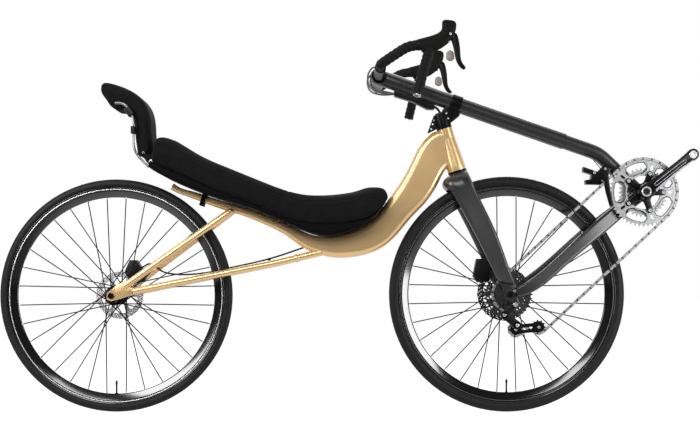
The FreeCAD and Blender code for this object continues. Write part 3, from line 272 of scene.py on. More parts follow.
def softened(node, width, segments=2):
    """A CAD node's shape with each edge sharper than 30 degrees broken by a width in millimetres."""
    mesh = frame["nodes"][node].data.copy()
    work = bmesh.new()
    work.from_mesh(mesh)
    bmesh.ops.remove_doubles(work, verts=work.verts, dist=0.00001)
    bmesh.ops.dissolve_limit(work, angle_limit=0.01, verts=work.verts, edges=work.edges)
    work.to_mesh(mesh)
    work.free()
    return settled(mesh, "BEVEL", width=width * MM, segments=segments, limit_method="ANGLE",
                   angle_limit=math.radians(30))


for side in ("right", "left"):
    piece("dropout_%s_edges" % side, softened("dropout_" + side, 1.2), "gold_paint", "frame", "dropout_" + side)
AXLE_END = 79.5  # how far the axles' screws stand from the bicycle's middle
screws("rear_axle_screws", "frame", "black_alloy",
       [(at(REAR_AXLE, 0, AXLE_END * way, 0), (0, way, 0), 8.5, 3.5, 0.5) for way in (-1, 1)])
collars = []
for way in (-1, 1):
    start, run = Vector((-62, 19.3 * way, -164.2)) * MM, Vector((-130, 15 * way, -31)).normalized()
    collars.append(moved(lathe(Vector(), [(10.1, -4), (11.4, -4), (12, -3), (12, 3), (11.4, 4), (10.1, 4)],
                               40), facing(start, run) @ Matrix.Rotation(math.pi / 2, 4, "X")))
piece("stay_collars", joined(collars), "gold_paint", "frame")

# ---------------------------------------------------------------------------
# Seat: foam in black knitted mesh on a moulded shell, and a padded headrest on two bent steel rods
# held by plastic clips. A cloth simulation swells each pad from a slightly smaller copy of its CAD
# solid, and the sewn seams are pressed in after it.

# Knitted polyester mesh over foam: cells of 2.4 mm, their pits darkened to black as painted shade, and faint lint in
# patches of 33 mm.
tree, knit, place = blank("seat_fabric", Roughness=0.95, Specular_IOR_Level=0.1, Sheen_Weight=0.04,
                          Sheen_Roughness=0.5)
cells = add(tree, "TexVoronoi", "Distance", place, Scale=per(2.4))
lint = add(tree, "TexNoise", "Fac", place, Scale=per(33), Detail=4)
# Painted shade: this ramp darkens each cell's pit, where the bump below sinks it.
cell_pit_shade = add(tree, "ValToRGB", "Color", [("Fac", cells)], [(0.1, "040404"), (0.6, "0f0f0f")])
lint_colour = add(tree, "ValToRGB", "Color", [("Fac", lint)], [(0.35, "060606"), (0.75, "131212")])
add(tree, "Mix", "Result", [("A", cell_pit_shade), ("B", lint_colour)], into=knit["Base Color"], data_type="RGBA",
    Factor=0.5)
add(tree, "Bump", "Normal", [("Height", cells)], into=knit["Normal"], Strength=0.35, Distance=0.0006)


def dull(name, hexa, roughness, grain, depth, lighter=1.6, specular=0.3, slot=None):
    """Moulded plastic or rubber: matt and dark, its grain of a size in millimetres lightening the colour
    by a factor."""
    tree, shader, place = blank(name, slot, Roughness=roughness, Specular_IOR_Level=specular)
    noise = add(tree, "TexNoise", "Fac", place, Scale=per(grain), Detail=3)
    colour = linear(hexa)
    light = (*[min(1, part * lighter) for part in colour[:3]], 1.0)
    add(tree, "ValToRGB", "Color", [("Fac", noise)], [(0.3, colour), (0.7, light)], shader["Base Color"])
    add(tree, "Bump", "Normal", [("Height", noise)], into=shader["Normal"], Strength=depth, Distance=0.0005)


dull("shell_plastic", "040404", 0.75, 1.4, 0.1, specular=0.06)  # glass-filled nylon: flat black
dull("small_black", "060606", 0.42, 1.7, 0.1, specular=0.2)  # injection-moulded ABS: satin black
metal("silver_alloy", "d2d3d5", 0.25, shine=0.7)  # polished aluminium: bright
metal("rod_steel", "8c8c8b", 0.28, 3.3, slot="steel")  # plated steel rod: bright grey


def placed(mesh, spot):
    """A copy of a mesh, slid from the origin to a spot."""
    return moved(mesh, Matrix.Translation(spot))


def mirrored(mesh):
    """The copy of a mesh on the bicycle's other side."""
    return moved(mesh, Matrix.Scale(-1, 4, ACROSS))


def subdivided(mesh, levels):
    """A mesh rounded off by subdivision."""
    return settled(mesh, "SUBSURF", levels=levels, render_levels=levels)


def read(mesh, what="co"):
    """The vertices' places or normals as an array of rows."""
    values = np.empty(len(mesh.vertices) * 3, np.float32)
    mesh.vertices.foreach_get(what, values)
    return values.reshape(-1, 3)


def shifted(mesh, moves):
    """Moves each vertex by its row."""
    mesh.vertices.foreach_set("co", (read(mesh) + moves).astype(np.float32).ravel())
    mesh.update()


def swelled(node, inset, voxel, cap):
    """A pad after its foam has pushed the fabric out: the solid, drawn in along its normals by an inset, is
    blown up as cloth, and every shift longer than the cap is scaled back to it."""
    mesh = frame["nodes"][node].data.copy()
    tidy(mesh)
    shifted(mesh, -inset * read(mesh, "normal"))
    mesh = settled(mesh, "REMESH", mode="VOXEL", voxel_size=voxel, adaptivity=0.0)
    holder = shown("foam", mesh)
    cloth = holder.modifiers.new("cloth", "CLOTH")
    cloth.settings.effector_weights.gravity = 0
    for setting, value in (("use_pressure", True), ("uniform_pressure_force", 4.0), ("tension_stiffness", 40),
                           ("compression_stiffness", 40), ("bending_stiffness", 2)):
        setattr(cloth.settings, setting, value)
    for step in range(1, 21):
        bpy.context.scene.frame_set(step)
    puffed = evaluated(holder)
    shift = read(puffed) - read(mesh)
    length = np.linalg.norm(shift, axis=1, keepdims=True)
    shifted(puffed, shift * (np.minimum(1, cap / np.maximum(length, 1e-9)) - 1))
    bpy.context.scene.frame_set(1)
    return subdivided(puffed, 1)


def near(gap, width):
    """1 at no gap, falling as half of one plus a cosine to 0 at a width."""
    return np.where(np.abs(gap) < width, 0.5 + 0.5 * np.cos(np.pi * gap / width), 0.0)[:, None]


def pressed(mesh, seam, width, depth):
    """A seam pressed in along the normals, where seam gives each x, y, z its distance in metres."""
    shifted(mesh, -depth * near(seam(*read(mesh).T), width) * read(mesh, "normal"))


def pulled(mesh, corner, shift, reach):
    """A stuffed corner drawn out: its (x, z), its move and its reach, in millimetres."""
    x, y, z = read(mesh).T
    gap = np.hypot(x - corner[0] * MM, z - corner[1] * MM)
    shifted(mesh, near(gap, reach * MM) * np.array([shift[0], 0, shift[1]]) * MM)


# seam between the top panel and the side band: x and z down the seat's middle
SEAT_TOP = np.array([(-459, 168), (-431, 175), (-352, 136), (-268, 96), (-157, 51), (-46, 15), (40, 14),
                     (121, 28), (170, 37), (204, 8)]) * MM
cushion_mesh = swelled("seat_cushion", inset=0.0015, voxel=0.005, cap=0.004)
pulled(cushion_mesh, (-440, 172), (-4, 9), 60)
pulled(cushion_mesh, (182, 34), (7, 6), 45)
pressed(cushion_mesh, lambda x, y, z: x + 0.082, 0.004, 0.0016)
pressed(cushion_mesh, lambda x, y, z: np.where(abs(y) > 0.06, z - np.interp(x, *SEAT_TOP.T) + 0.020, 1.0),
        0.004, 0.0018)
pressed(cushion_mesh, lambda x, y, z: abs(y) - 0.055, 0.004, 0.0012)
cushion = piece("seat_cushion_fabric", cushion_mesh, "seat_fabric", "frame", "seat_cushion", smooth=80)

pad_mesh = swelled("headrest_pad", inset=0.0012, voxel=0.004, cap=0.003)
pulled(pad_mesh, (-612, 327), (-11, 5), 42)
pressed(pad_mesh, lambda x, y, z: abs(y) - 0.046, 0.003, 0.0015)
pad = piece("headrest_fabric", pad_mesh, "seat_fabric", "frame", "headrest_pad", smooth=80)


def curve_mesh(curve):
    """The mesh of a curve."""
    holder = bpy.data.objects.new("curve", curve)
    mesh = bpy.data.meshes.new_from_object(holder)
    bpy.data.objects.remove(holder)
    return mesh


def smooth_path(points, steps=12):
    """The points of a smooth NURBS line led by control points."""
    curve = bpy.data.curves.new("line", "CURVE")
    curve.dimensions = "3D"
    curve.resolution_u = steps
    spline = curve.splines.new("NURBS")
    spline.points.add(len(points) - 1)
    spline.points.foreach_set("co", np.column_stack([np.array(points), np.ones(len(points))]).ravel())
    spline.order_u = 3
    spline.use_endpoint_u = True
    return read(curve_mesh(curve)).astype(float)


def lengths(path):
    """The distance along a path to each of its places."""
    return np.concatenate([[0.0], np.cumsum(np.linalg.norm(np.diff(path, axis=0), axis=1))])


def tube(path, radius, sides):
    """A tube: a circle square to the path at each place, carried along it without twist. Radius is in
    metres, or a function of distance and angle."""
    path = np.array(path)
    ahead = np.gradient(path, axis=0)
    ahead /= np.linalg.norm(ahead, axis=1)[:, None]
    out = [Vector(ahead[0]).orthogonal().normalized()]
    for before, after in zip(ahead, ahead[1:]):
        out.append(Vector(before).rotation_difference(Vector(after)) @ out[-1])
    out = np.array(out)
    distance, angle = lengths(path)[:, None], round_turn(sides)[None, :]
    reach = radius(distance, angle) if callable(radius) else radius + 0 * distance * angle
    aside = np.cross(ahead, out)
    round_path = np.cos(angle)[..., None] * out[:, None] + np.sin(angle)[..., None] * aside[:, None]
    return skin(path[:, None] + reach[..., None] * round_path)


def rounded(corners, radius, steps=4):
    """An outline with round corners: each a quadratic curve led by its corner, from a reach before it to
    a reach after it."""
    here = np.array(corners, dtype=float)
    before, after = np.roll(here, 1, axis=0) - here, np.roll(here, -1, axis=0) - here
    long_before, long_after = (np.linalg.norm(edge, axis=1)[:, None] for edge in (before, after))
    reach = np.minimum(radius, 0.45 * np.minimum(long_before, long_after))
    first, last = here + before / long_before * reach, here + after / long_after * reach
    share = np.linspace(0, 1, steps + 1)[:, None]
    bends = first[:, None] * (1 - share) ** 2 + here[:, None] * 2 * share * (1 - share) + last[:, None] * share ** 2
    return bends.reshape(-1, 2)


def cutout(loops, thickness, chamfer):
    """A flat plate in the XZ plane: its outline, then its holes, with broken edges."""
    curve = bpy.data.curves.new("cutout", "CURVE")
    curve.dimensions = "2D"
    curve.fill_mode = "BOTH"
    curve.extrude = (thickness / 2 - chamfer) * MM
    curve.bevel_depth = chamfer * MM
    curve.bevel_resolution = 1 if chamfer > 0.6 else 0
    curve.offset = -chamfer * MM
    for index, loop in enumerate(loops):
        loop = np.array(loop, dtype=float)
        after = np.roll(loop, -1, axis=0)
        area = np.sum(loop[:, 0] * after[:, 1] - after[:, 0] * loop[:, 1])
        loop = loop if (area > 0) == (index == 0) else loop[::-1]
        spline = curve.splines.new("POLY")
        spline.points.add(len(loop) - 1)
        spline.points.foreach_set("co", np.column_stack([loop * MM, loop * 0 + (0, 1)]).ravel())
        spline.use_cyclic_u = True
    mesh = curve_mesh(curve)
    mesh.transform(Matrix(((1, 0, 0, 0), (0, 0, 1, 0), (0, 1, 0, 0), (0, 0, 0, 1))))
    tidy(mesh)
    return mesh


rod_mesh = tube(smooth_path([Vector((x, -69, z)) * MM for x, z in (
    (-578, 278), (-566, 279), (-550, 275), (-534, 254), (-525, 232), (-525, 190), (-525, 155), (-518, 134),
    (-500, 113), (-480, 95))]), 0.0035, 16)
piece("headrest_rods", joined([rod_mesh, mirrored(rod_mesh)]), "rod_steel", "frame", "headrest_rod")
clips = []
for x, z, long, thick, lean in ((-538, 253, 27, 18, 38), (-526, 201, 22, 13, 0)):
    outline = rounded([(-thick / 2, -long / 2), (thick / 2, -long / 2), (thick / 2, long / 2),
                       (-thick / 2, long / 2)], 3)
    clip = moved(cutout([outline], 20, 1.6), Matrix.Translation(Vector((x, -66, z)) * MM)
                 @ Matrix.Rotation(math.radians(-lean), 4, "Y"))
    clips += [clip, mirrored(clip)]
piece("headrest_clips", joined(clips), "small_black", "frame")
screws("headrest_rivets", "frame", "silver_alloy",
       [(Vector((-0.498, 0.056 * way, 0.137)), (0, way, 0), 4.0, 9.0, 0.5) for way in (-1, 1)])

# ---------------------------------------------------------------------------
# Wheels: slick rubber road tyres on deep anodised rims, with a thin ring beside the tyre as a painted highlight for
# the glint of the rim's bead edge (bright silver at the rear, dark grey at the front),
# 32 black steel spokes crossed three times and hooked into the hub's flanges, plated nipples and a long valve.
FRONT_AXLE = Vector(joints["front_wheel_spin"]["pos_m"])

# Vulcanised rubber: dull, with fine diagonal files cut about every 4 mm across the tread's middle, laid
# out on the tyre's own UV, plain casing sides, and dust in 17 mm patches.
tree, rubber, place = blank("tyre_rubber", Roughness=0.58, Specular_IOR_Level=0.18)
uv = add(tree, "TexCoord", "UV")
across = add(tree, "SeparateXYZ", "Y", [("Vector", uv)])
wound = add(tree, "Mapping", "Vector", [("Vector", uv)], Scale=(248, 8, 1))
files = add(tree, "TexWave", "Fac", [("Vector", wound)], wave_type="BANDS", bands_direction="DIAGONAL", Scale=1.8,
            Distortion=0)
tread_sides = [(index, add(tree, "MapRange", "Result", [("Value", across)], From_Min=low, From_Max=high))
               for index, (low, high) in enumerate(((0.30, 0.34), (0.70, 0.66)))]
tread = add(tree, "Math", "Value", tread_sides, operation="MULTIPLY")
cut = add(tree, "Math", "Value", [(0, tread), (1, files)], operation="MULTIPLY")
dust = add(tree, "TexNoise", "Fac", place, Scale=per(17), Detail=4)
add(tree, "ValToRGB", "Color", [("Fac", dust)], [(0.3, "0b0b0b"), (0.75, "151414")], rubber["Base Color"])
add(tree, "Bump", "Normal", [("Height", cut)], into=rubber["Normal"], Strength=0.3, Distance=0.0006)

# Hard-anodised aluminium: near black, smooth and glossy, its colour mottled at 1.3 mm.
tree, glossy, place = blank("rim_black", "black_alloy", Roughness=0.13, Specular_IOR_Level=0.8)
mottle = add(tree, "TexNoise", "Fac", place, Scale=per(1.3), Detail=2)
add(tree, "ValToRGB", "Color", [("Fac", mottle)], [(0.3, "010101"), (0.7, "030303")], glossy["Base Color"])

dull("spoke_steel", "050505", 0.45, 3.3, 0.1, 1.5, 0.15)  # blackened steel wire
metal("steel", "9c9b99", 0.3)  # turned steel: grey
metal("cog_steel", "545556", 0.36, 3.3, slot="steel")  # plated steel: dark grey; on the front disc it is painted shade, and on the front rim's ring a dim painted highlight
metal("rim_glint_silver", "d2d3d5", 0.34, 12, 0.0, 0.7, "silver_alloy")  # painted highlight: bright, even silver that stands for the glint along the rim's bead edge


def polar(radius, angle):
    """Places about the origin: the radius times the angle's cosine and sine."""
    return np.stack([radius * np.cos(angle), radius * np.sin(angle)], -1)


def tyre_profile(radius, width):
    """A tyre's section through 284 degrees of a circle. Its reach dips 0.7 at the tread's shoulder
    grooves and rises 0.25 at the casing's ribs."""
    turn = np.linspace(-142, 142, 41)
    reach = width / 2 - 0.7 * (abs(abs(turn) - 49) < 4) + 0.25 * (abs(abs(turn) - 92) < 4)
    return (radius - width / 2, 0) + polar(reach, np.radians(turn))


RIM_SIDE = np.array([(316.0, 11.6), (315.8, 12.7), (314.8, 13.1), (313.6, 12.8), (312.6, 12.2), (307.0, 12.0),
                     (305.0, 11.6), (303.6, 10.9), (289.4, 3.8), (288.0, 2.9), (286.6, 1.8), (286.0, 0.0)])
rim_profile = np.concatenate([RIM_SIDE, RIM_SIDE[-2::-1] * (1, -1)])
SPOKES = 32
SPOKE_RADIUS = 1.6 * MM
NIPPLE_SEAT = 288  # the radius at which the nipples leave the rim
HOLE_RADIUS = 24  # the radius of the holes round each flange
LACED = 6 * 0.98  # how many spokes' spacing each spoke leads or trails its hub hole
# The last column is the finish of the painted highlight ring by the tyre: bright silver at the rear, dark grey at the
# front.
for end, axle, radius, width, flanges, edge in (("rear", REAR_AXLE, 339, 28, (34, 34), "rim_glint_silver"),
                                                ("front", FRONT_AXLE, 343, 32, (24, 32), "cog_steel")):
    body = end + "_wheel"
    piece(end + "_tyre_tread", lathe(axle, tyre_profile(radius, width), 360), "tyre_rubber", body,
          end + "_tyre", smooth=40)
    piece(end + "_rim_deep", lathe(axle, rim_profile, 360), "rim_black", body, end + "_rim", smooth=70)
    # Painted highlight: a thin ring on each side of the rim, 0.9 mm proud of it, paints the glint along the rim's bead
    # edge.
    turn = np.radians(np.arange(-30, 211, 24))
    glint_bead = np.column_stack([309.2 + 1.4 * np.cos(turn), 11.7 + 0.7 * np.sin(turn)])
    edges = [lathe(axle, glint_bead * (1, way), 360) for way in (-1, 1)]
    piece(end + "_rim_glint_rings", joined(edges), edge, body, smooth=60)
    nipples, wires = [], []
    for index in range(SPOKES):
        way, outside = (-1 if index % 2 else 1), (index // 2) % 2
        rim_turn = 2 * math.pi * (index + 0.5) / SPOKES
        out = Vector((math.cos(rim_turn), 0, math.sin(rim_turn)))
        nipples.append(screw(axle + (out * NIPPLE_SEAT + 1.2 * way * ACROSS) * MM, -out, 1.9, 8, 0.3))
        flange = way * flanges[index % 2]
        hub_turn = rim_turn + (-1 if outside else 1) * 2 * math.pi * LACED / SPOKES
        hole_x, hole_z = polar(HOLE_RADIUS, hub_turn)
        foot = at(axle, hole_x, flange + way * (5.4 if outside else -3.4), hole_z)
        head = at(axle, hole_x, flange - way * (3.2 if outside else -3.2), hole_z)
        tip = axle + (out * (NIPPLE_SEAT - 2) + 1.2 * way * ACROSS) * MM
        wires.append(tube([head, foot.lerp(head, 0.3), foot.lerp(tip, 0.012), foot.lerp(tip, 0.05), tip],
                          SPOKE_RADIUS, 8))
        wires.append(screw(head, head - foot, 1.9, 0.9, 0.3))
    piece(end + "_nipples", joined(nipples), "steel", body)
    piece(end + "_spoke_wires", joined(wires), "spoke_steel", body, end + "_spokes", smooth=60)
    down = Vector((0, 0, -1))
    valve = [spindle(*np.array(rows).T[..., None], round_turn(16), axle + down * (NIPPLE_SEAT - 1) * MM, -down)
             for rows in (((0, 4.6), (2.4, 4.6), (2.6, 3.0), (3.4, 3.0)),
                          ((3, 2.6), (28, 2.6), (29, 3.4), (36, 3.4), (37, 1.8), (40, 1.4)))]
    piece(end + "_valve", joined(valve), "black_alloy", body)

# ---------------------------------------------------------------------------
# Hubs and disc brakes: anodised hub shells, drilled stainless discs with scalloped rims held by six
# screws, the front one in dark grey steel as painted shade, and black calipers on two bright screws each.
metal("disc_steel", "d2d2d2", 0.3, 3.3, shine=0.6, slot="steel")  # ground stainless steel: pale


def circle(radius, count=48, x=0.0, z=0.0):
    """A round outline about a middle."""
    return (x, z) + polar(radius, round_turn(count))


def sector(inner, outer, start, stop, corner, steps=10):
    """A window between two radii and two angles in degrees, its corners cut off by a corner's reach."""
    inset_in, inset_out = math.degrees(corner / inner), math.degrees(corner / outer)
    turn = np.radians(np.concatenate([np.linspace(start + inset_out, stop - inset_out, steps + 1), [stop, stop],
                                      np.linspace(stop - inset_in, start + inset_in, steps + 1), [start, start]]))
    reach = np.concatenate([np.full(steps + 1, outer), [outer - corner, inner + corner],
                            np.full(steps + 1, inner), [inner + corner, outer - corner]])
    return polar(reach, turn)


# Painted shade: the front disc wears dark grey cog_steel, where the rear one, of the same stainless, wears pale
# disc_steel.
for end, axle, radius, finish in (("rear", REAR_AXLE, 70, "disc_steel"), ("front", FRONT_AXLE, 80, "cog_steel")):
    body = end + "_wheel"
    piece(end + "_hub_body", softened(end + "_hub", 0.9), "black_alloy", body, end + "_hub")
    scallops = radius - 0.9 * (np.arange(144) // 3 % 2)
    loops = [polar(scallops, round_turn(144)), circle(13.2, 40)]
    loops += [sector(25, radius - 16, index * 60 + 7, index * 60 + 53, 4) for index in range(6)]
    for index in range(36):
        for shift, reach in ((0, radius - 11.5), (3.2, radius - 7.6), (6.4, radius - 3.9)):
            loops.append(circle(1.35, 10, *polar(reach, math.radians(index * 10 + shift))))
    piece(end + "_disc", placed(cutout(loops, 2.0, 0.25), at(axle, 0, 46, 0)), finish, body, end + "_rotor")
    screws(end + "_disc_screws", body, "black_alloy",
           [(at(axle, x, 47, z), (0, 1, 0), 3.0, 2.4) for x, z in polar(19, np.radians(np.arange(30, 360, 60)))])

for end, axle, body, places in (("rear", REAR_AXLE, "frame", ((66, 51), (36, 100))),
                                ("front", FRONT_AXLE, "steering", ((-78, 44), (-70, 98)))):
    piece(end + "_caliper_body", softened(end + "_caliper", 2.2, 3), "small_black", body, end + "_caliper")
    screws(end + "_caliper_screws", body, "silver_alloy",
           [(at(axle, x, 70.5, z), (0, 1, 0), 3.6, 2.5) for x, z in places])

# ---------------------------------------------------------------------------
# Cassette: ten stamped and plated steel sprockets, the larger ones pierced to save weight, held on the
# front hub's right side by a carrier and a lock ring.
PITCH = 12.7  # the chain's pitch, half an inch


def pitch_radius(teeth):
    """The radius at which the chain runs round a number of teeth: half a pitch over the sine of half a
    tooth's angle."""
    return PITCH / 2 / math.sin(math.pi / teeth)


def teeth_loop(teeth, tip, root, lean=0.0):
    """A sprocket's outline: each pitch's seven (share of the pitch, radius) points repeated round it."""
    share, radius = np.array([(-0.32, root), (-0.2, root + (tip - root) * 0.4), (-0.08, tip - 0.2), (0.06, tip),
                              (0.2, root + (tip - root) * 0.4), (0.32, root), (0.5, root - 0.7)]).T
    turn = 2 * np.pi * (np.arange(teeth)[:, None] + share + lean) / teeth
    return polar(radius, turn).reshape(-1, 2)


discs = []
for index, teeth in enumerate((34, 30, 26, 23, 21, 19, 17, 15, 13, 11)):
    root = pitch_radius(teeth) - 3.6
    loops = [teeth_loop(teeth, pitch_radius(teeth) + 2.6, root, 0.5 * (index % 2)), circle(15.3, 36)]
    windows = 9 if teeth > 26 else 7 if teeth > 19 else 0
    for window in range(windows):
        start = 360 * window / windows + index * 9
        loops.append(sector(20, root - 4, start + 7, start + 360 / windows - 7, 2.5, 6))
        if teeth > 26:
            loops.append(circle(1.8, 10, *polar(root - 7, math.radians(start))))
    discs.append(placed(cutout(loops, 1.7, 0.2), at(FRONT_AXLE, 0, -33 - index * 3.9, 0)))
discs.append(lathe(FRONT_AXLE, [(15.2, -31), (17.6, -31), (17.6, -69), (16.8, -70.6), (15.2, -70.6)], 60))
piece("cassette_sprockets", joined(discs), "cog_steel", "front_wheel", "cassette")

# ---------------------------------------------------------------------------
# Fork, front stays and boom: aluminium in satin black powder coat. Plate dropouts carry the front
# axle and a bright screw for the derailleur's hanger.
# Polyester powder coat, baked on: satin black with a fleck of 1.4 mm in its colour and its gloss.
tree, satin, place = blank("black_paint", Roughness=0.38, Specular_IOR_Level=0.6, Coat_Weight=0.2,
                           Coat_Roughness=0.2)
fleck = add(tree, "TexNoise", "Fac", place, Scale=per(1.4), Detail=3)
add(tree, "ValToRGB", "Color", [("Fac", fleck)], [(0.3, "0a0a0a"), (0.7, "131312")], satin["Base Color"])
add(tree, "Bump", "Normal", [("Height", fleck)], into=satin["Normal"], Strength=0.08, Distance=0.0003)
for side in ("right", "left"):
    piece("front_dropout_%s_edges" % side, softened("front_dropout_" + side, 1.2), "black_paint", "steering",
          "front_dropout_" + side)
screws("front_axle_screws", "steering", "black_alloy",
       [(at(FRONT_AXLE, 0, AXLE_END * way, 0), (0, way, 0), 8.5, 3.5, 0.5) for way in (-1, 1)])
screws("dropout_screws", "steering", "silver_alloy", [(at(FRONT_AXLE, 13.4, -78, 10.2), (0, -1, 0), 4.2, 2.0)])

# ---------------------------------------------------------------------------
# Chainrings: a machined grey outer ring with five windows edged in black, and a plain inner ring
# behind it on five bright screws.
BRACKET = Vector(joints["crank_spin"]["pos_m"])
metal("ring_grey", "c2c3c4", 0.3, 2.6, 0.15, 0.7, "silver_alloy")  # anodised aluminium: light grey


def on_axis(mesh, y):
    """A flat ring's mesh put on the crank's axis."""
    return placed(mesh, at(BRACKET, 0, y, 0))


BIG_RING, SMALL_RING = 48, 34  # numbers of teeth
CHAIN_Y, INNER_Y = -44.7, -38  # the planes of the two rings, and of the chain with the first
big_loops, small_loops = ([teeth_loop(teeth, pitch_radius(teeth) + 2.8, pitch_radius(teeth) - 3.6), circle(48, 72)]
                          for teeth in (BIG_RING, SMALL_RING))
inner_parts = [on_axis(cutout(small_loops, 2.0, 0.3), INNER_Y)]
edge_frames, rows = [], []
for index in range(5):
    start, turn = index * 72, math.radians(index * 72)
    big_loops.append(sector(54, 86, 11 + start, 61 + start, 10))
    swing = np.array([(math.cos(turn), math.sin(turn)), (-math.sin(turn), math.cos(turn))])
    big_loops.append(rounded([(67, -3.5), (82, -3.5), (82, 3.5), (67, 3.5)], 3.4) @ swing)
    edge_frames.append(cutout([sector(52.8, 87.2, 10 + start, 62 + start, 11),
                               sector(54.8, 85.2, 12 + start, 60 + start, 9.4)], 2.8, 0.5))
    hole_x, hole_z = polar(55, turn)
    inner_parts.append(screw(at(BRACKET, hole_x, INNER_Y, hole_z), (0, -1, 0), 5, 5.6, 0.5))
    rows.append((at(BRACKET, hole_x, -51.4, hole_z), (0, -1, 0), 5.2, 2.0, 0.5))
piece("chainring_outer", on_axis(cutout(big_loops, 2.2, 0.35), CHAIN_Y), "ring_grey", "crank", "chainring_big")
piece("chainring_window_edges", on_axis(joined(edge_frames), -44.8), "small_black", "crank")
piece("chainring_inner", joined(inner_parts), "silver_alloy", "crank", "chainring_small")
screws("chainring_screws", "crank", "silver_alloy", rows)

# ---------------------------------------------------------------------------
# Crank arms: forged aluminium, anodised black, with a polished lower flank and flute, a five-legged
# spider on the right one, a bright collar round each spindle end and a bright eye for each pedal.
CRANK_TURN = 38.4  # degrees above level of the right arm
CRANK_LENGTH = 170  # from the spindle to the pedal's eye
arm_side = np.array([(-22, 0), (-16, -16), (0, -22), (20, -18.5), (60, -15.5), (120, -14), (158, -15.5),
                     (172, -17.5), (184, -12), (188.5, 0)])
arm_rows = np.concatenate([arm_side, arm_side[-2:0:-1] * (1, -1)])
flank_rows = [(22, -17.6), (60, -14.9), (120, -13.4), (160, -14.9), (161, -12.4), (120, -8.8), (60, -9.4),
              (24, -11.4)]
flute_rows = np.array([(34, -5.5), (140, -4.5), (146, 0), (140, 4.5), (34, 5.5), (28, 0)])
legs = np.array([(-22, 27), (-8.5, 56), (-5, 62.5), (5, 62.5), (8.5, 56), (22, 27)])
star = polar(legs[:, 1], np.radians(np.arange(5)[:, None] * 72 + legs[:, 0])).reshape(-1, 2)
for side, way, turn in (("right", -1, CRANK_TURN), ("left", 1, CRANK_TURN + 180)):
    stand = Matrix.Translation(at(BRACKET, 0, 70 * way, 0)) @ Matrix.Rotation(math.radians(-turn), 4, "Y")
    arm = cutout([rounded(arm_rows, 9), circle(7.2, 32, CRANK_LENGTH), circle(11.5, 40)], 12.6, 2.2)
    parts = [moved(arm, stand)]
    if side == "right":
        parts.append(on_axis(cutout([rounded(star, 9), circle(12.6, 40)], 5.2, 1.0), -48.9))
        parts.append(lathe(BRACKET, [(12.6, -46.5), (23, -46.5), (23.5, -52), (20.5, -66), (12.6, -66)], 60))
    piece("crank_arm_%s_forged" % side, joined(parts), "black_alloy", "crank", "crank_arm_" + side)
    flanks = cutout([rounded(flank_rows, 1)], 13.0, 0.2)
    flute = cutout([rounded(flute_rows, 5), rounded(flute_rows * (0.99, 0.7) + (1, 0), 4)], 13.0, 0.2)
    eye = cutout([circle(11.2, 40, CRANK_LENGTH), circle(7.15, 32, CRANK_LENGTH)], 13.6, 0.5)
    piece("crank_arm_%s_polish" % side, moved(joined([flanks, flute, eye]), stand), "silver_alloy", "crank")
    collar = np.array([(9.6, 75.4), (9.8, 77.4), (10.6, 78.2), (13.4, 78.2), (14.4, 77.4), (14.6, 75.4)])
    core = np.array([(0.5, 75.4), (9.6, 75.4), (9.6, 76.2), (8.8, 76.8), (5.2, 76.8), (4.8, 75.9), (0.5, 75.9)])
    for part, profile, finish in (("collar", collar, "silver_alloy"), ("core", core, "small_black")):
        piece("crank_%s_%s" % (part, side), lathe(BRACKET, profile * (1, way), 48), finish, "crank")

# ---------------------------------------------------------------------------
# Chain: nickel-plated outer links over darker inner links and bushes at half-inch pitch, closed round
# the outer ring, a sprocket and the derailleur's two pulleys.
metal("chain_steel", "b6b6b3", 0.3, 3.3, shine=0.6, slot="steel")  # nickel-plated steel: pale
GUIDE_PULLEY, TENSION_PULLEY = (20, -101), (86, -94)  # x and z from the front axle
PULLEY_RADIUS = 19.5  # at which the chain runs round them


def evenly(path, step):
    """A path's places a set step apart, read off by distance along it."""
    along = lengths(path)
    spots = np.arange(0, along[-1], step)
    return np.column_stack([np.interp(spots, along, axis) for axis in np.array(path).T])


def chain_line(wheels, step):
    """Places along the tangents and arcs round wheels of (centre, radius in mm, turn), a step apart."""
    spots = []
    for (first, r1, turn1), (second, r2, turn2) in zip(wheels, wheels[1:] + wheels[:1]):
        run = (second - first) / MM
        heading = math.atan2(run.z, run.x) + math.asin((r1 * turn1 - r2 * turn2) / math.hypot(run.x, run.z))
        side = heading - math.pi / 2
        out = Vector((math.cos(side), 0, math.sin(side)))
        spots.append((first + out * r1 * turn1 * MM, second + out * r2 * turn2 * MM, side))
    places = []
    for index, (leave, arrive, side) in enumerate(spots):
        places.append(np.linspace(leave, arrive, 40, endpoint=False))
        centre, radius, turn = wheels[(index + 1) % len(wheels)]
        swept = (spots[(index + 1) % len(spots)][2] - side) * turn % (2 * math.pi) * turn
        angle = side + swept * np.arange(40) / 40
        rim = np.column_stack([np.cos(angle), 0 * angle, np.sin(angle)])
        places.append(np.array(centre) + rim * radius * turn * MM)
    places = np.concatenate(places + [places[0][:1]])
    length = lengths(places)[-1]
    count = round(length / (step * MM) / 2) * 2
    return [Vector(place) for place in evenly(places, length / count)[:count]]


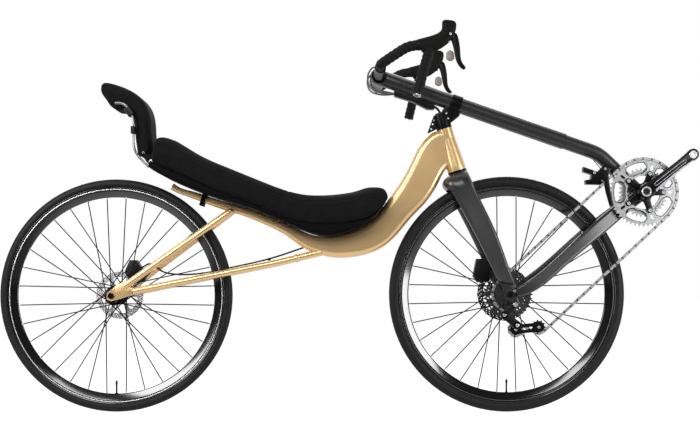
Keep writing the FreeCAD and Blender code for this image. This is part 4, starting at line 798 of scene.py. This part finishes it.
guide_at, tension_at = (at(FRONT_AXLE, x, 0, z) for x, z in (GUIDE_PULLEY, TENSION_PULLEY))
pins = chain_line([(BRACKET, pitch_radius(BIG_RING), 1), (FRONT_AXLE, pitch_radius(23), 1),
                   (guide_at, PULLEY_RADIUS, -1), (tension_at, PULLEY_RADIUS, 1)], PITCH)
lobe = (PITCH / 2, 0) + polar(4.3, np.radians(np.arange(-120, 121, 30)))
plate_mesh = cutout([np.concatenate([lobe, [(0, 3.5)], -lobe, [(0, -3.5)]])], 1.0, 0.15)
bush = lathe(Vector(), [(1.6, -1.7), (3.7, -1.7), (3.7, 1.7), (1.6, 1.7)], 10)
outer_links, inner_links, bushes = [], [], []
for index, place in enumerate(pins):
    after = pins[(index + 1) % len(pins)]
    run = after - place
    turn = Matrix.Rotation(-math.atan2(run.z, run.x), 4, "Y") @ Matrix.Scale(run.length / (PITCH * MM), 4, (1, 0, 0))
    for side in (-1, 1):
        spot = Matrix.Translation(at((place + after) / 2, 0, CHAIN_Y + side * (2.75 if index % 2 else 1.95), 0))
        (outer_links if index % 2 else inner_links).append(moved(plate_mesh, spot @ turn))
    bushes.append(placed(bush, at(place, 0, CHAIN_Y, 0)))
piece("chain_outer_links", joined(outer_links), "chain_steel", "steering", "chain", smooth=30)
piece("chain_inner_links", joined(inner_links + bushes), "cog_steel", "steering", smooth=30)

# ---------------------------------------------------------------------------
# Rear derailleur: two black knuckles on a linked body, a pierced cage and two toothed pulleys, all
# held by bright screws.
def bar_loop(first, second, radius_first, radius_second=None, steps=10):
    """The outline of a link: a half circle round each of its two ends."""
    heading = math.atan2(second[1] - first[1], second[0] - first[0])
    half = np.linspace(-np.pi / 2, np.pi / 2, steps + 1) + heading
    ends = ((second, radius_second or radius_first, half), (first, radius_first, half + np.pi))
    return np.concatenate([end + polar(radius, turn) for end, radius, turn in ends])


def front_plate(loops, thickness, y, chamfer):
    """A plate at a y, its outline about the front axle."""
    return placed(cutout(loops, thickness, chamfer), at(FRONT_AXLE, 0, y, 0))


hanger, upper, lower = (13, -28), (-19, -58), (18, -87)
body_parts = [
    front_plate([bar_loop(hanger, upper, 9.5, 10)], 9, -83.5, 2.0),
    front_plate([bar_loop(upper, lower, 10, 11)], 5, -89.5, 2.0),
    front_plate([bar_loop((upper[0] + 5, upper[1] + 5), (lower[0] + 5, lower[1] + 6), 5, 5)], 5, -79.5, 1.5)]
FACE_Y = -92  # of the knuckles' outer ends
for (x, z), radius, back in ((hanger, 9, -78), (upper, 10, -79), (lower, 12, -53)):
    profile = [(0.5, FACE_Y), (radius - 1.6, FACE_Y), (radius, FACE_Y + 1.6), (radius, back - 1), (radius - 1, back),
               (0.5, back)]
    body_parts.append(lathe(at(FRONT_AXLE, x, 0, z), profile, 40))
piece("derailleur_body", joined(body_parts), "small_black", "steering", "rear_derailleur")
cage_loops = [bar_loop(GUIDE_PULLEY, TENSION_PULLEY, 13), bar_loop((40, -98.9), (66, -96.1), 3.6)]
piece("derailleur_cage", joined([front_plate(cage_loops, 1.6, y, 0.3) for y in (-50.5, -38.9)]),
      "black_alloy", "steering")
pulley_parts = []
pulley_loops = [teeth_loop(11, 21.4, 17.6), circle(3, 16)]
pulley_loops += [sector(8, 12, index * 72 + 18, index * 72 + 54, 1.5) for index in range(5)]
for x, z in (GUIDE_PULLEY, TENSION_PULLEY):
    pulley_parts.append(placed(cutout(pulley_loops, 2.2, 0.3), at(FRONT_AXLE, x, CHAIN_Y, z)))
    pulley_parts.append(lathe(at(FRONT_AXLE, x, 0, z), [(2.6, -49.7), (6, -49.7), (6, -39.7), (2.6, -39.7)], 24))
piece("derailleur_pulleys", joined(pulley_parts), "small_black", "steering")
screws("derailleur_screws", "steering", "silver_alloy", [
    (at(FRONT_AXLE, x, y, z), (0, -1, 0), radius, height, 0.5) for (x, z), y, radius, height in (
        (hanger, FACE_Y, 6.2, 2.5), (upper, FACE_Y, 4.6, 1.5), (lower, FACE_Y, 5.0, 1.5),
        (GUIDE_PULLEY, -51.3, 4.0, 1.6), (TENSION_PULLEY, -51.3, 4.0, 1.6))])

# ---------------------------------------------------------------------------
# Front derailleur: a bowed anodised cage over the outer ring, on a band round the boom, pulled by a
# bare wire.
piece("front_derailleur_cage", softened("front_derailleur", 1.0), "black_alloy", "steering", "front_derailleur")
screws("front_derailleur_screws", "steering", "silver_alloy", [
    (at(BRACKET, *spot), (0, -1, 0), radius, 2.0, 0.5) for spot, radius in (
        ((-140, -39.7, 57), 4.0), ((-109, -39.7, 68), 3.4), ((-118, -39.7, 34), 3.2))])
wire = smooth_path([at(BRACKET, *spot) for spot in ((-141, -30, 93), (-128, -40, 76), (-112, -42, 53))])
piece("derailleur_wire", tube(wire, 0.0011, 10), "small_black", "steering")

# ---------------------------------------------------------------------------
# Handlebar: drops wrapped in overlapping cork tape, plugged with a bright ring, moulded rubber hoods,
# black alloy brake levers on bright pivots, and a brown shift paddle behind each.
HEAD = Vector(joints["steering_turn"]["pos_m"])
BAR = Vector((HEAD.x - 0.228, 0, HEAD.z + 0.2735))  # the bar's middle

# Cork and rubber tape: soft black, with cork specks of 3.8 mm that dimple it.
tree, cork, place = blank("grip", Roughness=0.62, Specular_IOR_Level=0.14)
speck = add(tree, "TexVoronoi", "Distance", place, Scale=per(3.8))
add(tree, "ValToRGB", "Color", [("Fac", speck)], [(0.0, "110f0e"), (0.6, "080706")], cork["Base Color"])
add(tree, "Bump", "Normal", [("Height", speck)], into=cork["Normal"], Strength=0.25, Distance=0.0005)
dull("hood_rubber", "040403", 0.62, 1.9, 0.3, specular=0.12, slot="grip")  # moulded rubber: soft black
dull("paddle_brown", "6f6662", 0.4, 2.0, 0.08, 1.2, 0.5, "small_black")  # tinted nylon: grey-brown
dull("hose_grey", "4c4d4f", 0.4, 2.5, 0.15, 1.3, 0.5)  # polymer outer casing: mid grey
DROP_Y = -202  # of the right drop's line
drop_line = smooth_path([at(BAR, *spot) for spot in (
    (0, -152, 0), (0, -190, 0), (3, DROP_Y, 2), (40, DROP_Y, 27), (76, DROP_Y, 50), (118, DROP_Y, 52), (131, -203, 47),
    (129, -205, 24), (112, -215, -30), (99, -226, -86))], 16)
TAPE_PITCH, TAPE_RADIUS, TAPE_STEP = 14 * MM, 13.4 * MM, 1.4 * MM


def taped(distance, angle):
    """Radius of tape wound with an overlap: it climbs by a step across each turn and falls back over the
    turn's last 15 per cent."""
    share = (distance / TAPE_PITCH + angle / (2 * np.pi)) % 1.0
    return TAPE_RADIUS + TAPE_STEP * np.minimum(share / 0.85, (1 - share) / 0.15)


def loft(sections, sides, levels, square):
    """A soft form through sections of (upper x, z, lower x, z, width, middle y): each is an oval squared
    off by a power of its cosine and sine."""
    x1, z1, x2, z2, width, y = np.array(sections, dtype=float).T[..., None]
    angle = round_turn(sides)
    along = np.sign(np.cos(angle)) * abs(np.cos(angle)) ** square
    aside = np.sign(np.sin(angle)) * abs(np.sin(angle)) ** square
    grid = np.stack([(x1 + x2 + (x1 - x2) * along) / 2, y + aside * width / 2, (z1 + z2 + (z1 - z2) * along) / 2], -1)
    return subdivided(skin(grid * MM), levels)


def by_drop(rows):
    """Sections of (upper x, z, lower x, z, width) from the bar's middle, put at the right drop."""
    return [(bx + BAR.x / MM, bz + BAR.z / MM, lx + BAR.x / MM, lz + BAR.z / MM, width, DROP_Y)
            for bx, bz, lx, lz, width in rows]


drop_end, drop_way = Vector(drop_line[-1]), Vector(drop_line[-1] - drop_line[-4]).normalized()
drop_mesh = tube(evenly(drop_line, 0.0014), taped, 28)
plug_mesh = screw(drop_end - drop_way * 0.001, drop_way, 14.6, 4.5, 0.62)
plug_ring = screw(drop_end + drop_way * 0.0015, drop_way, 11.4, 4.4, 0.8)
hood_mesh = loft(by_drop([
    (90, 64, 116, 26, 31), (100, 68, 127, 29, 34), (128, 75, 156, 36, 33), (152, 82, 176, 49, 31),
    (166, 92, 196, 66, 29), (167, 104, 206, 92, 28), (166, 116, 208, 110, 26), (172, 122, 202, 119, 18)]), 16, 2, 0.8)
lever_mesh = loft(by_drop([
    (207, 90, 184, 80, 15), (213, 70, 193, 62, 16), (217, 48, 198, 44, 16), (218, 28, 201, 26, 15),
    (219, 10, 206, 4, 14), (227, -3, 218, -12, 13), (234, -9, 228, -18, 10)]), 12, 2, 0.8)
paddle_outline = rounded([(179, 34), (190, 40), (199, 34), (202, 14), (191, 7), (178, 13)], 6)
paddle_mesh = placed(cutout([paddle_outline], 4.5, 1.5), at(BAR, 0, -199, 0))
for side, way in (("right", -1), ("left", 1)):
    turned = (lambda mesh: mesh) if way < 0 else mirrored
    piece("tape_" + side, turned(drop_mesh), "grip", "steering", "drop_" + side, smooth=50)
    piece("bar_plug_" + side, turned(plug_mesh), "small_black", "steering")
    piece("bar_plug_ring_" + side, turned(plug_ring), "silver_alloy", "steering")
    piece("hood_rubber_" + side, turned(hood_mesh), "hood_rubber", "steering", "hood_" + side, smooth=60)
    piece("lever_blade_" + side, turned(lever_mesh), "black_alloy", "steering", "brake_lever_" + side, smooth=60)
    piece("shift_paddle_" + side, turned(paddle_mesh), "paddle_brown", "steering")
    screws("lever_pivot_" + side, "steering", "silver_alloy", [
        (at(BAR, 189, 215 * way, 80), (0, way, 0), 3.4, 2.2), (at(BAR, 186, 208 * way, 60), (0, way, 0), 3.0, 2.0)])

# ---------------------------------------------------------------------------
# Clamps: black alloy bar clamp, boom band and steerer clamp with their edges broken, a moulded cable
# box under the boom, and a pierced plate behind the steerer clamp that guides the hoses.
for node, width in (("bar_clamp", 1.5), ("steerer_clamp", 1.5), ("cable_box", 2.0)):
    piece(node + "_body", softened(node, width, 3), "small_black" if node == "cable_box" else "black_alloy",
          "steering", node)
screws("clamp_screws", "steering", "silver_alloy",
       [(at(BAR, -21, y, z), (-1, 0, 0.1 * z), 3.2, 3.0) for y in (-17, 17) for z in (-9, 9)]
       + [(at(HEAD, -30 + x, 16 * way, z), (0, way, 0), 3.4, 3.5) for way in (-1, 1)
          for x, z in ((2, 151), (-3, 166))])
screws("band_screws", "steering", "black_alloy",
       [(at(BAR, 215 + x, 26 * way, -75 - x * 0.35), (0, way, 0), 2.8, 2.0) for way in (-1, 1) for x in (4, 22)])
guide_outline = rounded([(318, 198), (335, 246), (354, 252), (346, 211)], 4)
guide_plate = cutout([guide_outline, circle(2.6, 16, 334, 226), circle(2.6, 16, 339, 238),
                      circle(2.2, 16, 330, 212)], 3.0, 0.5)
piece("hose_guide", placed(guide_plate, ACROSS * -7 * MM), "small_black", "steering")

# ---------------------------------------------------------------------------
# Solids that show as they are: each wears the finish of its slot in the record, and the rims their
# own gloss.
for part in frame["record"]["subparts"]:
    name = part["node"]
    finish = finishes["rim_black" if name.endswith("_rim") else part["material_slot"]][0]
    for slot in frame["nodes"][name].material_slots:
        slot.material = finish

# ---------------------------------------------------------------------------
# Stage: a wide white floor that fades into a white room, soft boxes, and a camera level with the
# lower frame. Lamps and a dim room light the bicycle; the white is there for the eye and for gloss.
def background_rays(tree, ahead):
    """1 for rays from the eye, and for reflected or passed rays as far as ahead lets them see white."""
    rays = add(tree, "LightPath", "Is Camera Ray").node.outputs
    others = add(tree, "Math", "Value", [(0, rays["Is Glossy Ray"]), (1, rays["Is Transmission Ray"])],
                 operation="MAXIMUM")
    return add(tree, "Math", "Value", [(0, others), (1, ahead), (2, rays["Is Camera Ray"])],
               operation="MULTIPLY_ADD", use_clamp=True)


# Painted board: a mid grey under the lamps, made white for the eye, and for gloss away from the camera.
tree, board, place = blank("white_floor", Roughness=0.7, Specular_IOR_Level=0.1, Base_Color=grey(0.2),
                           Emission_Color=grey(1))
depth = add(tree, "SeparateXYZ", "Y", place)
ahead = add(tree, "MapRange", "Result", [("Value", depth)], From_Min=-0.8, From_Max=-0.45)
add(tree, "MapRange", "Result", [("Value", background_rays(tree, ahead))], into=board["Emission Strength"],
    To_Max=0.93)
bpy.ops.mesh.primitive_circle_add(vertices=96, radius=14, fill_type="NGON",
                                  location=(0, 0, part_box("rear_tyre")[0][2] - 0.0005))
floor = bpy.context.object
floor.name = "studio_floor"
floor.data.materials.append(finishes["white_floor"][0])

world = bpy.data.worlds.new("studio")
bpy.context.scene.world = world
world.use_nodes = True
tree = world.node_tree
room = tree.nodes["Background"].inputs
room["Color"].default_value = grey(1)
way = add(tree, "SeparateXYZ", "Y", [("Vector", add(tree, "TexCoord", "Generated"))])
ahead = add(tree, "MapRange", "Result", [("Value", way)], From_Min=-0.05, From_Max=0.3)
add(tree, "MapRange", "Result", [("Value", background_rays(tree, ahead))], into=room["Strength"], To_Min=0.12,
    To_Max=1.0)

for name, place, aim, width, height, power in (
        ("front", (-0.5, -3.4, 1.9), (0.1, 0, -0.1), 1.8, 1.2, 72),
        ("left_strip", (-1.75, -1.3, 0.75), (-0.4, 0, -0.35), 0.7, 1.6, 50),
        ("right_strip", (2.1, -1.3, 0.1), (0.3, 0, -0.15), 0.7, 1.4, 45),
        ("back", (0.2, 3.2, 2.2), (0.1, 0, -0.1), 3.2, 1.2, 60),
        ("top", (0, 0.2, 2.8), (0, 0, 0), 3.6, 0.9, 25)):
    lamp = bpy.data.lights.new(name, "AREA")
    lamp.shape = "RECTANGLE"
    lamp.size, lamp.size_y, lamp.energy = width, height, power
    holder = shown(name, lamp)
    holder.location = place
    holder.rotation_euler = (Vector(aim) - Vector(place)).to_track_quat("-Z", "Y").to_euler()

lens = bpy.data.cameras.new("camera")
lens.lens = 56.36
lens.sensor_width = 36
lens.shift_y = 0.0836
camera = shown("camera", lens)
camera.location = (0.0934, -3.2, -0.2132)
camera.rotation_euler = (math.pi / 2, 0, 0)
bpy.context.scene.camera = camera
bpy.context.scene.view_settings.view_transform = "Standard"
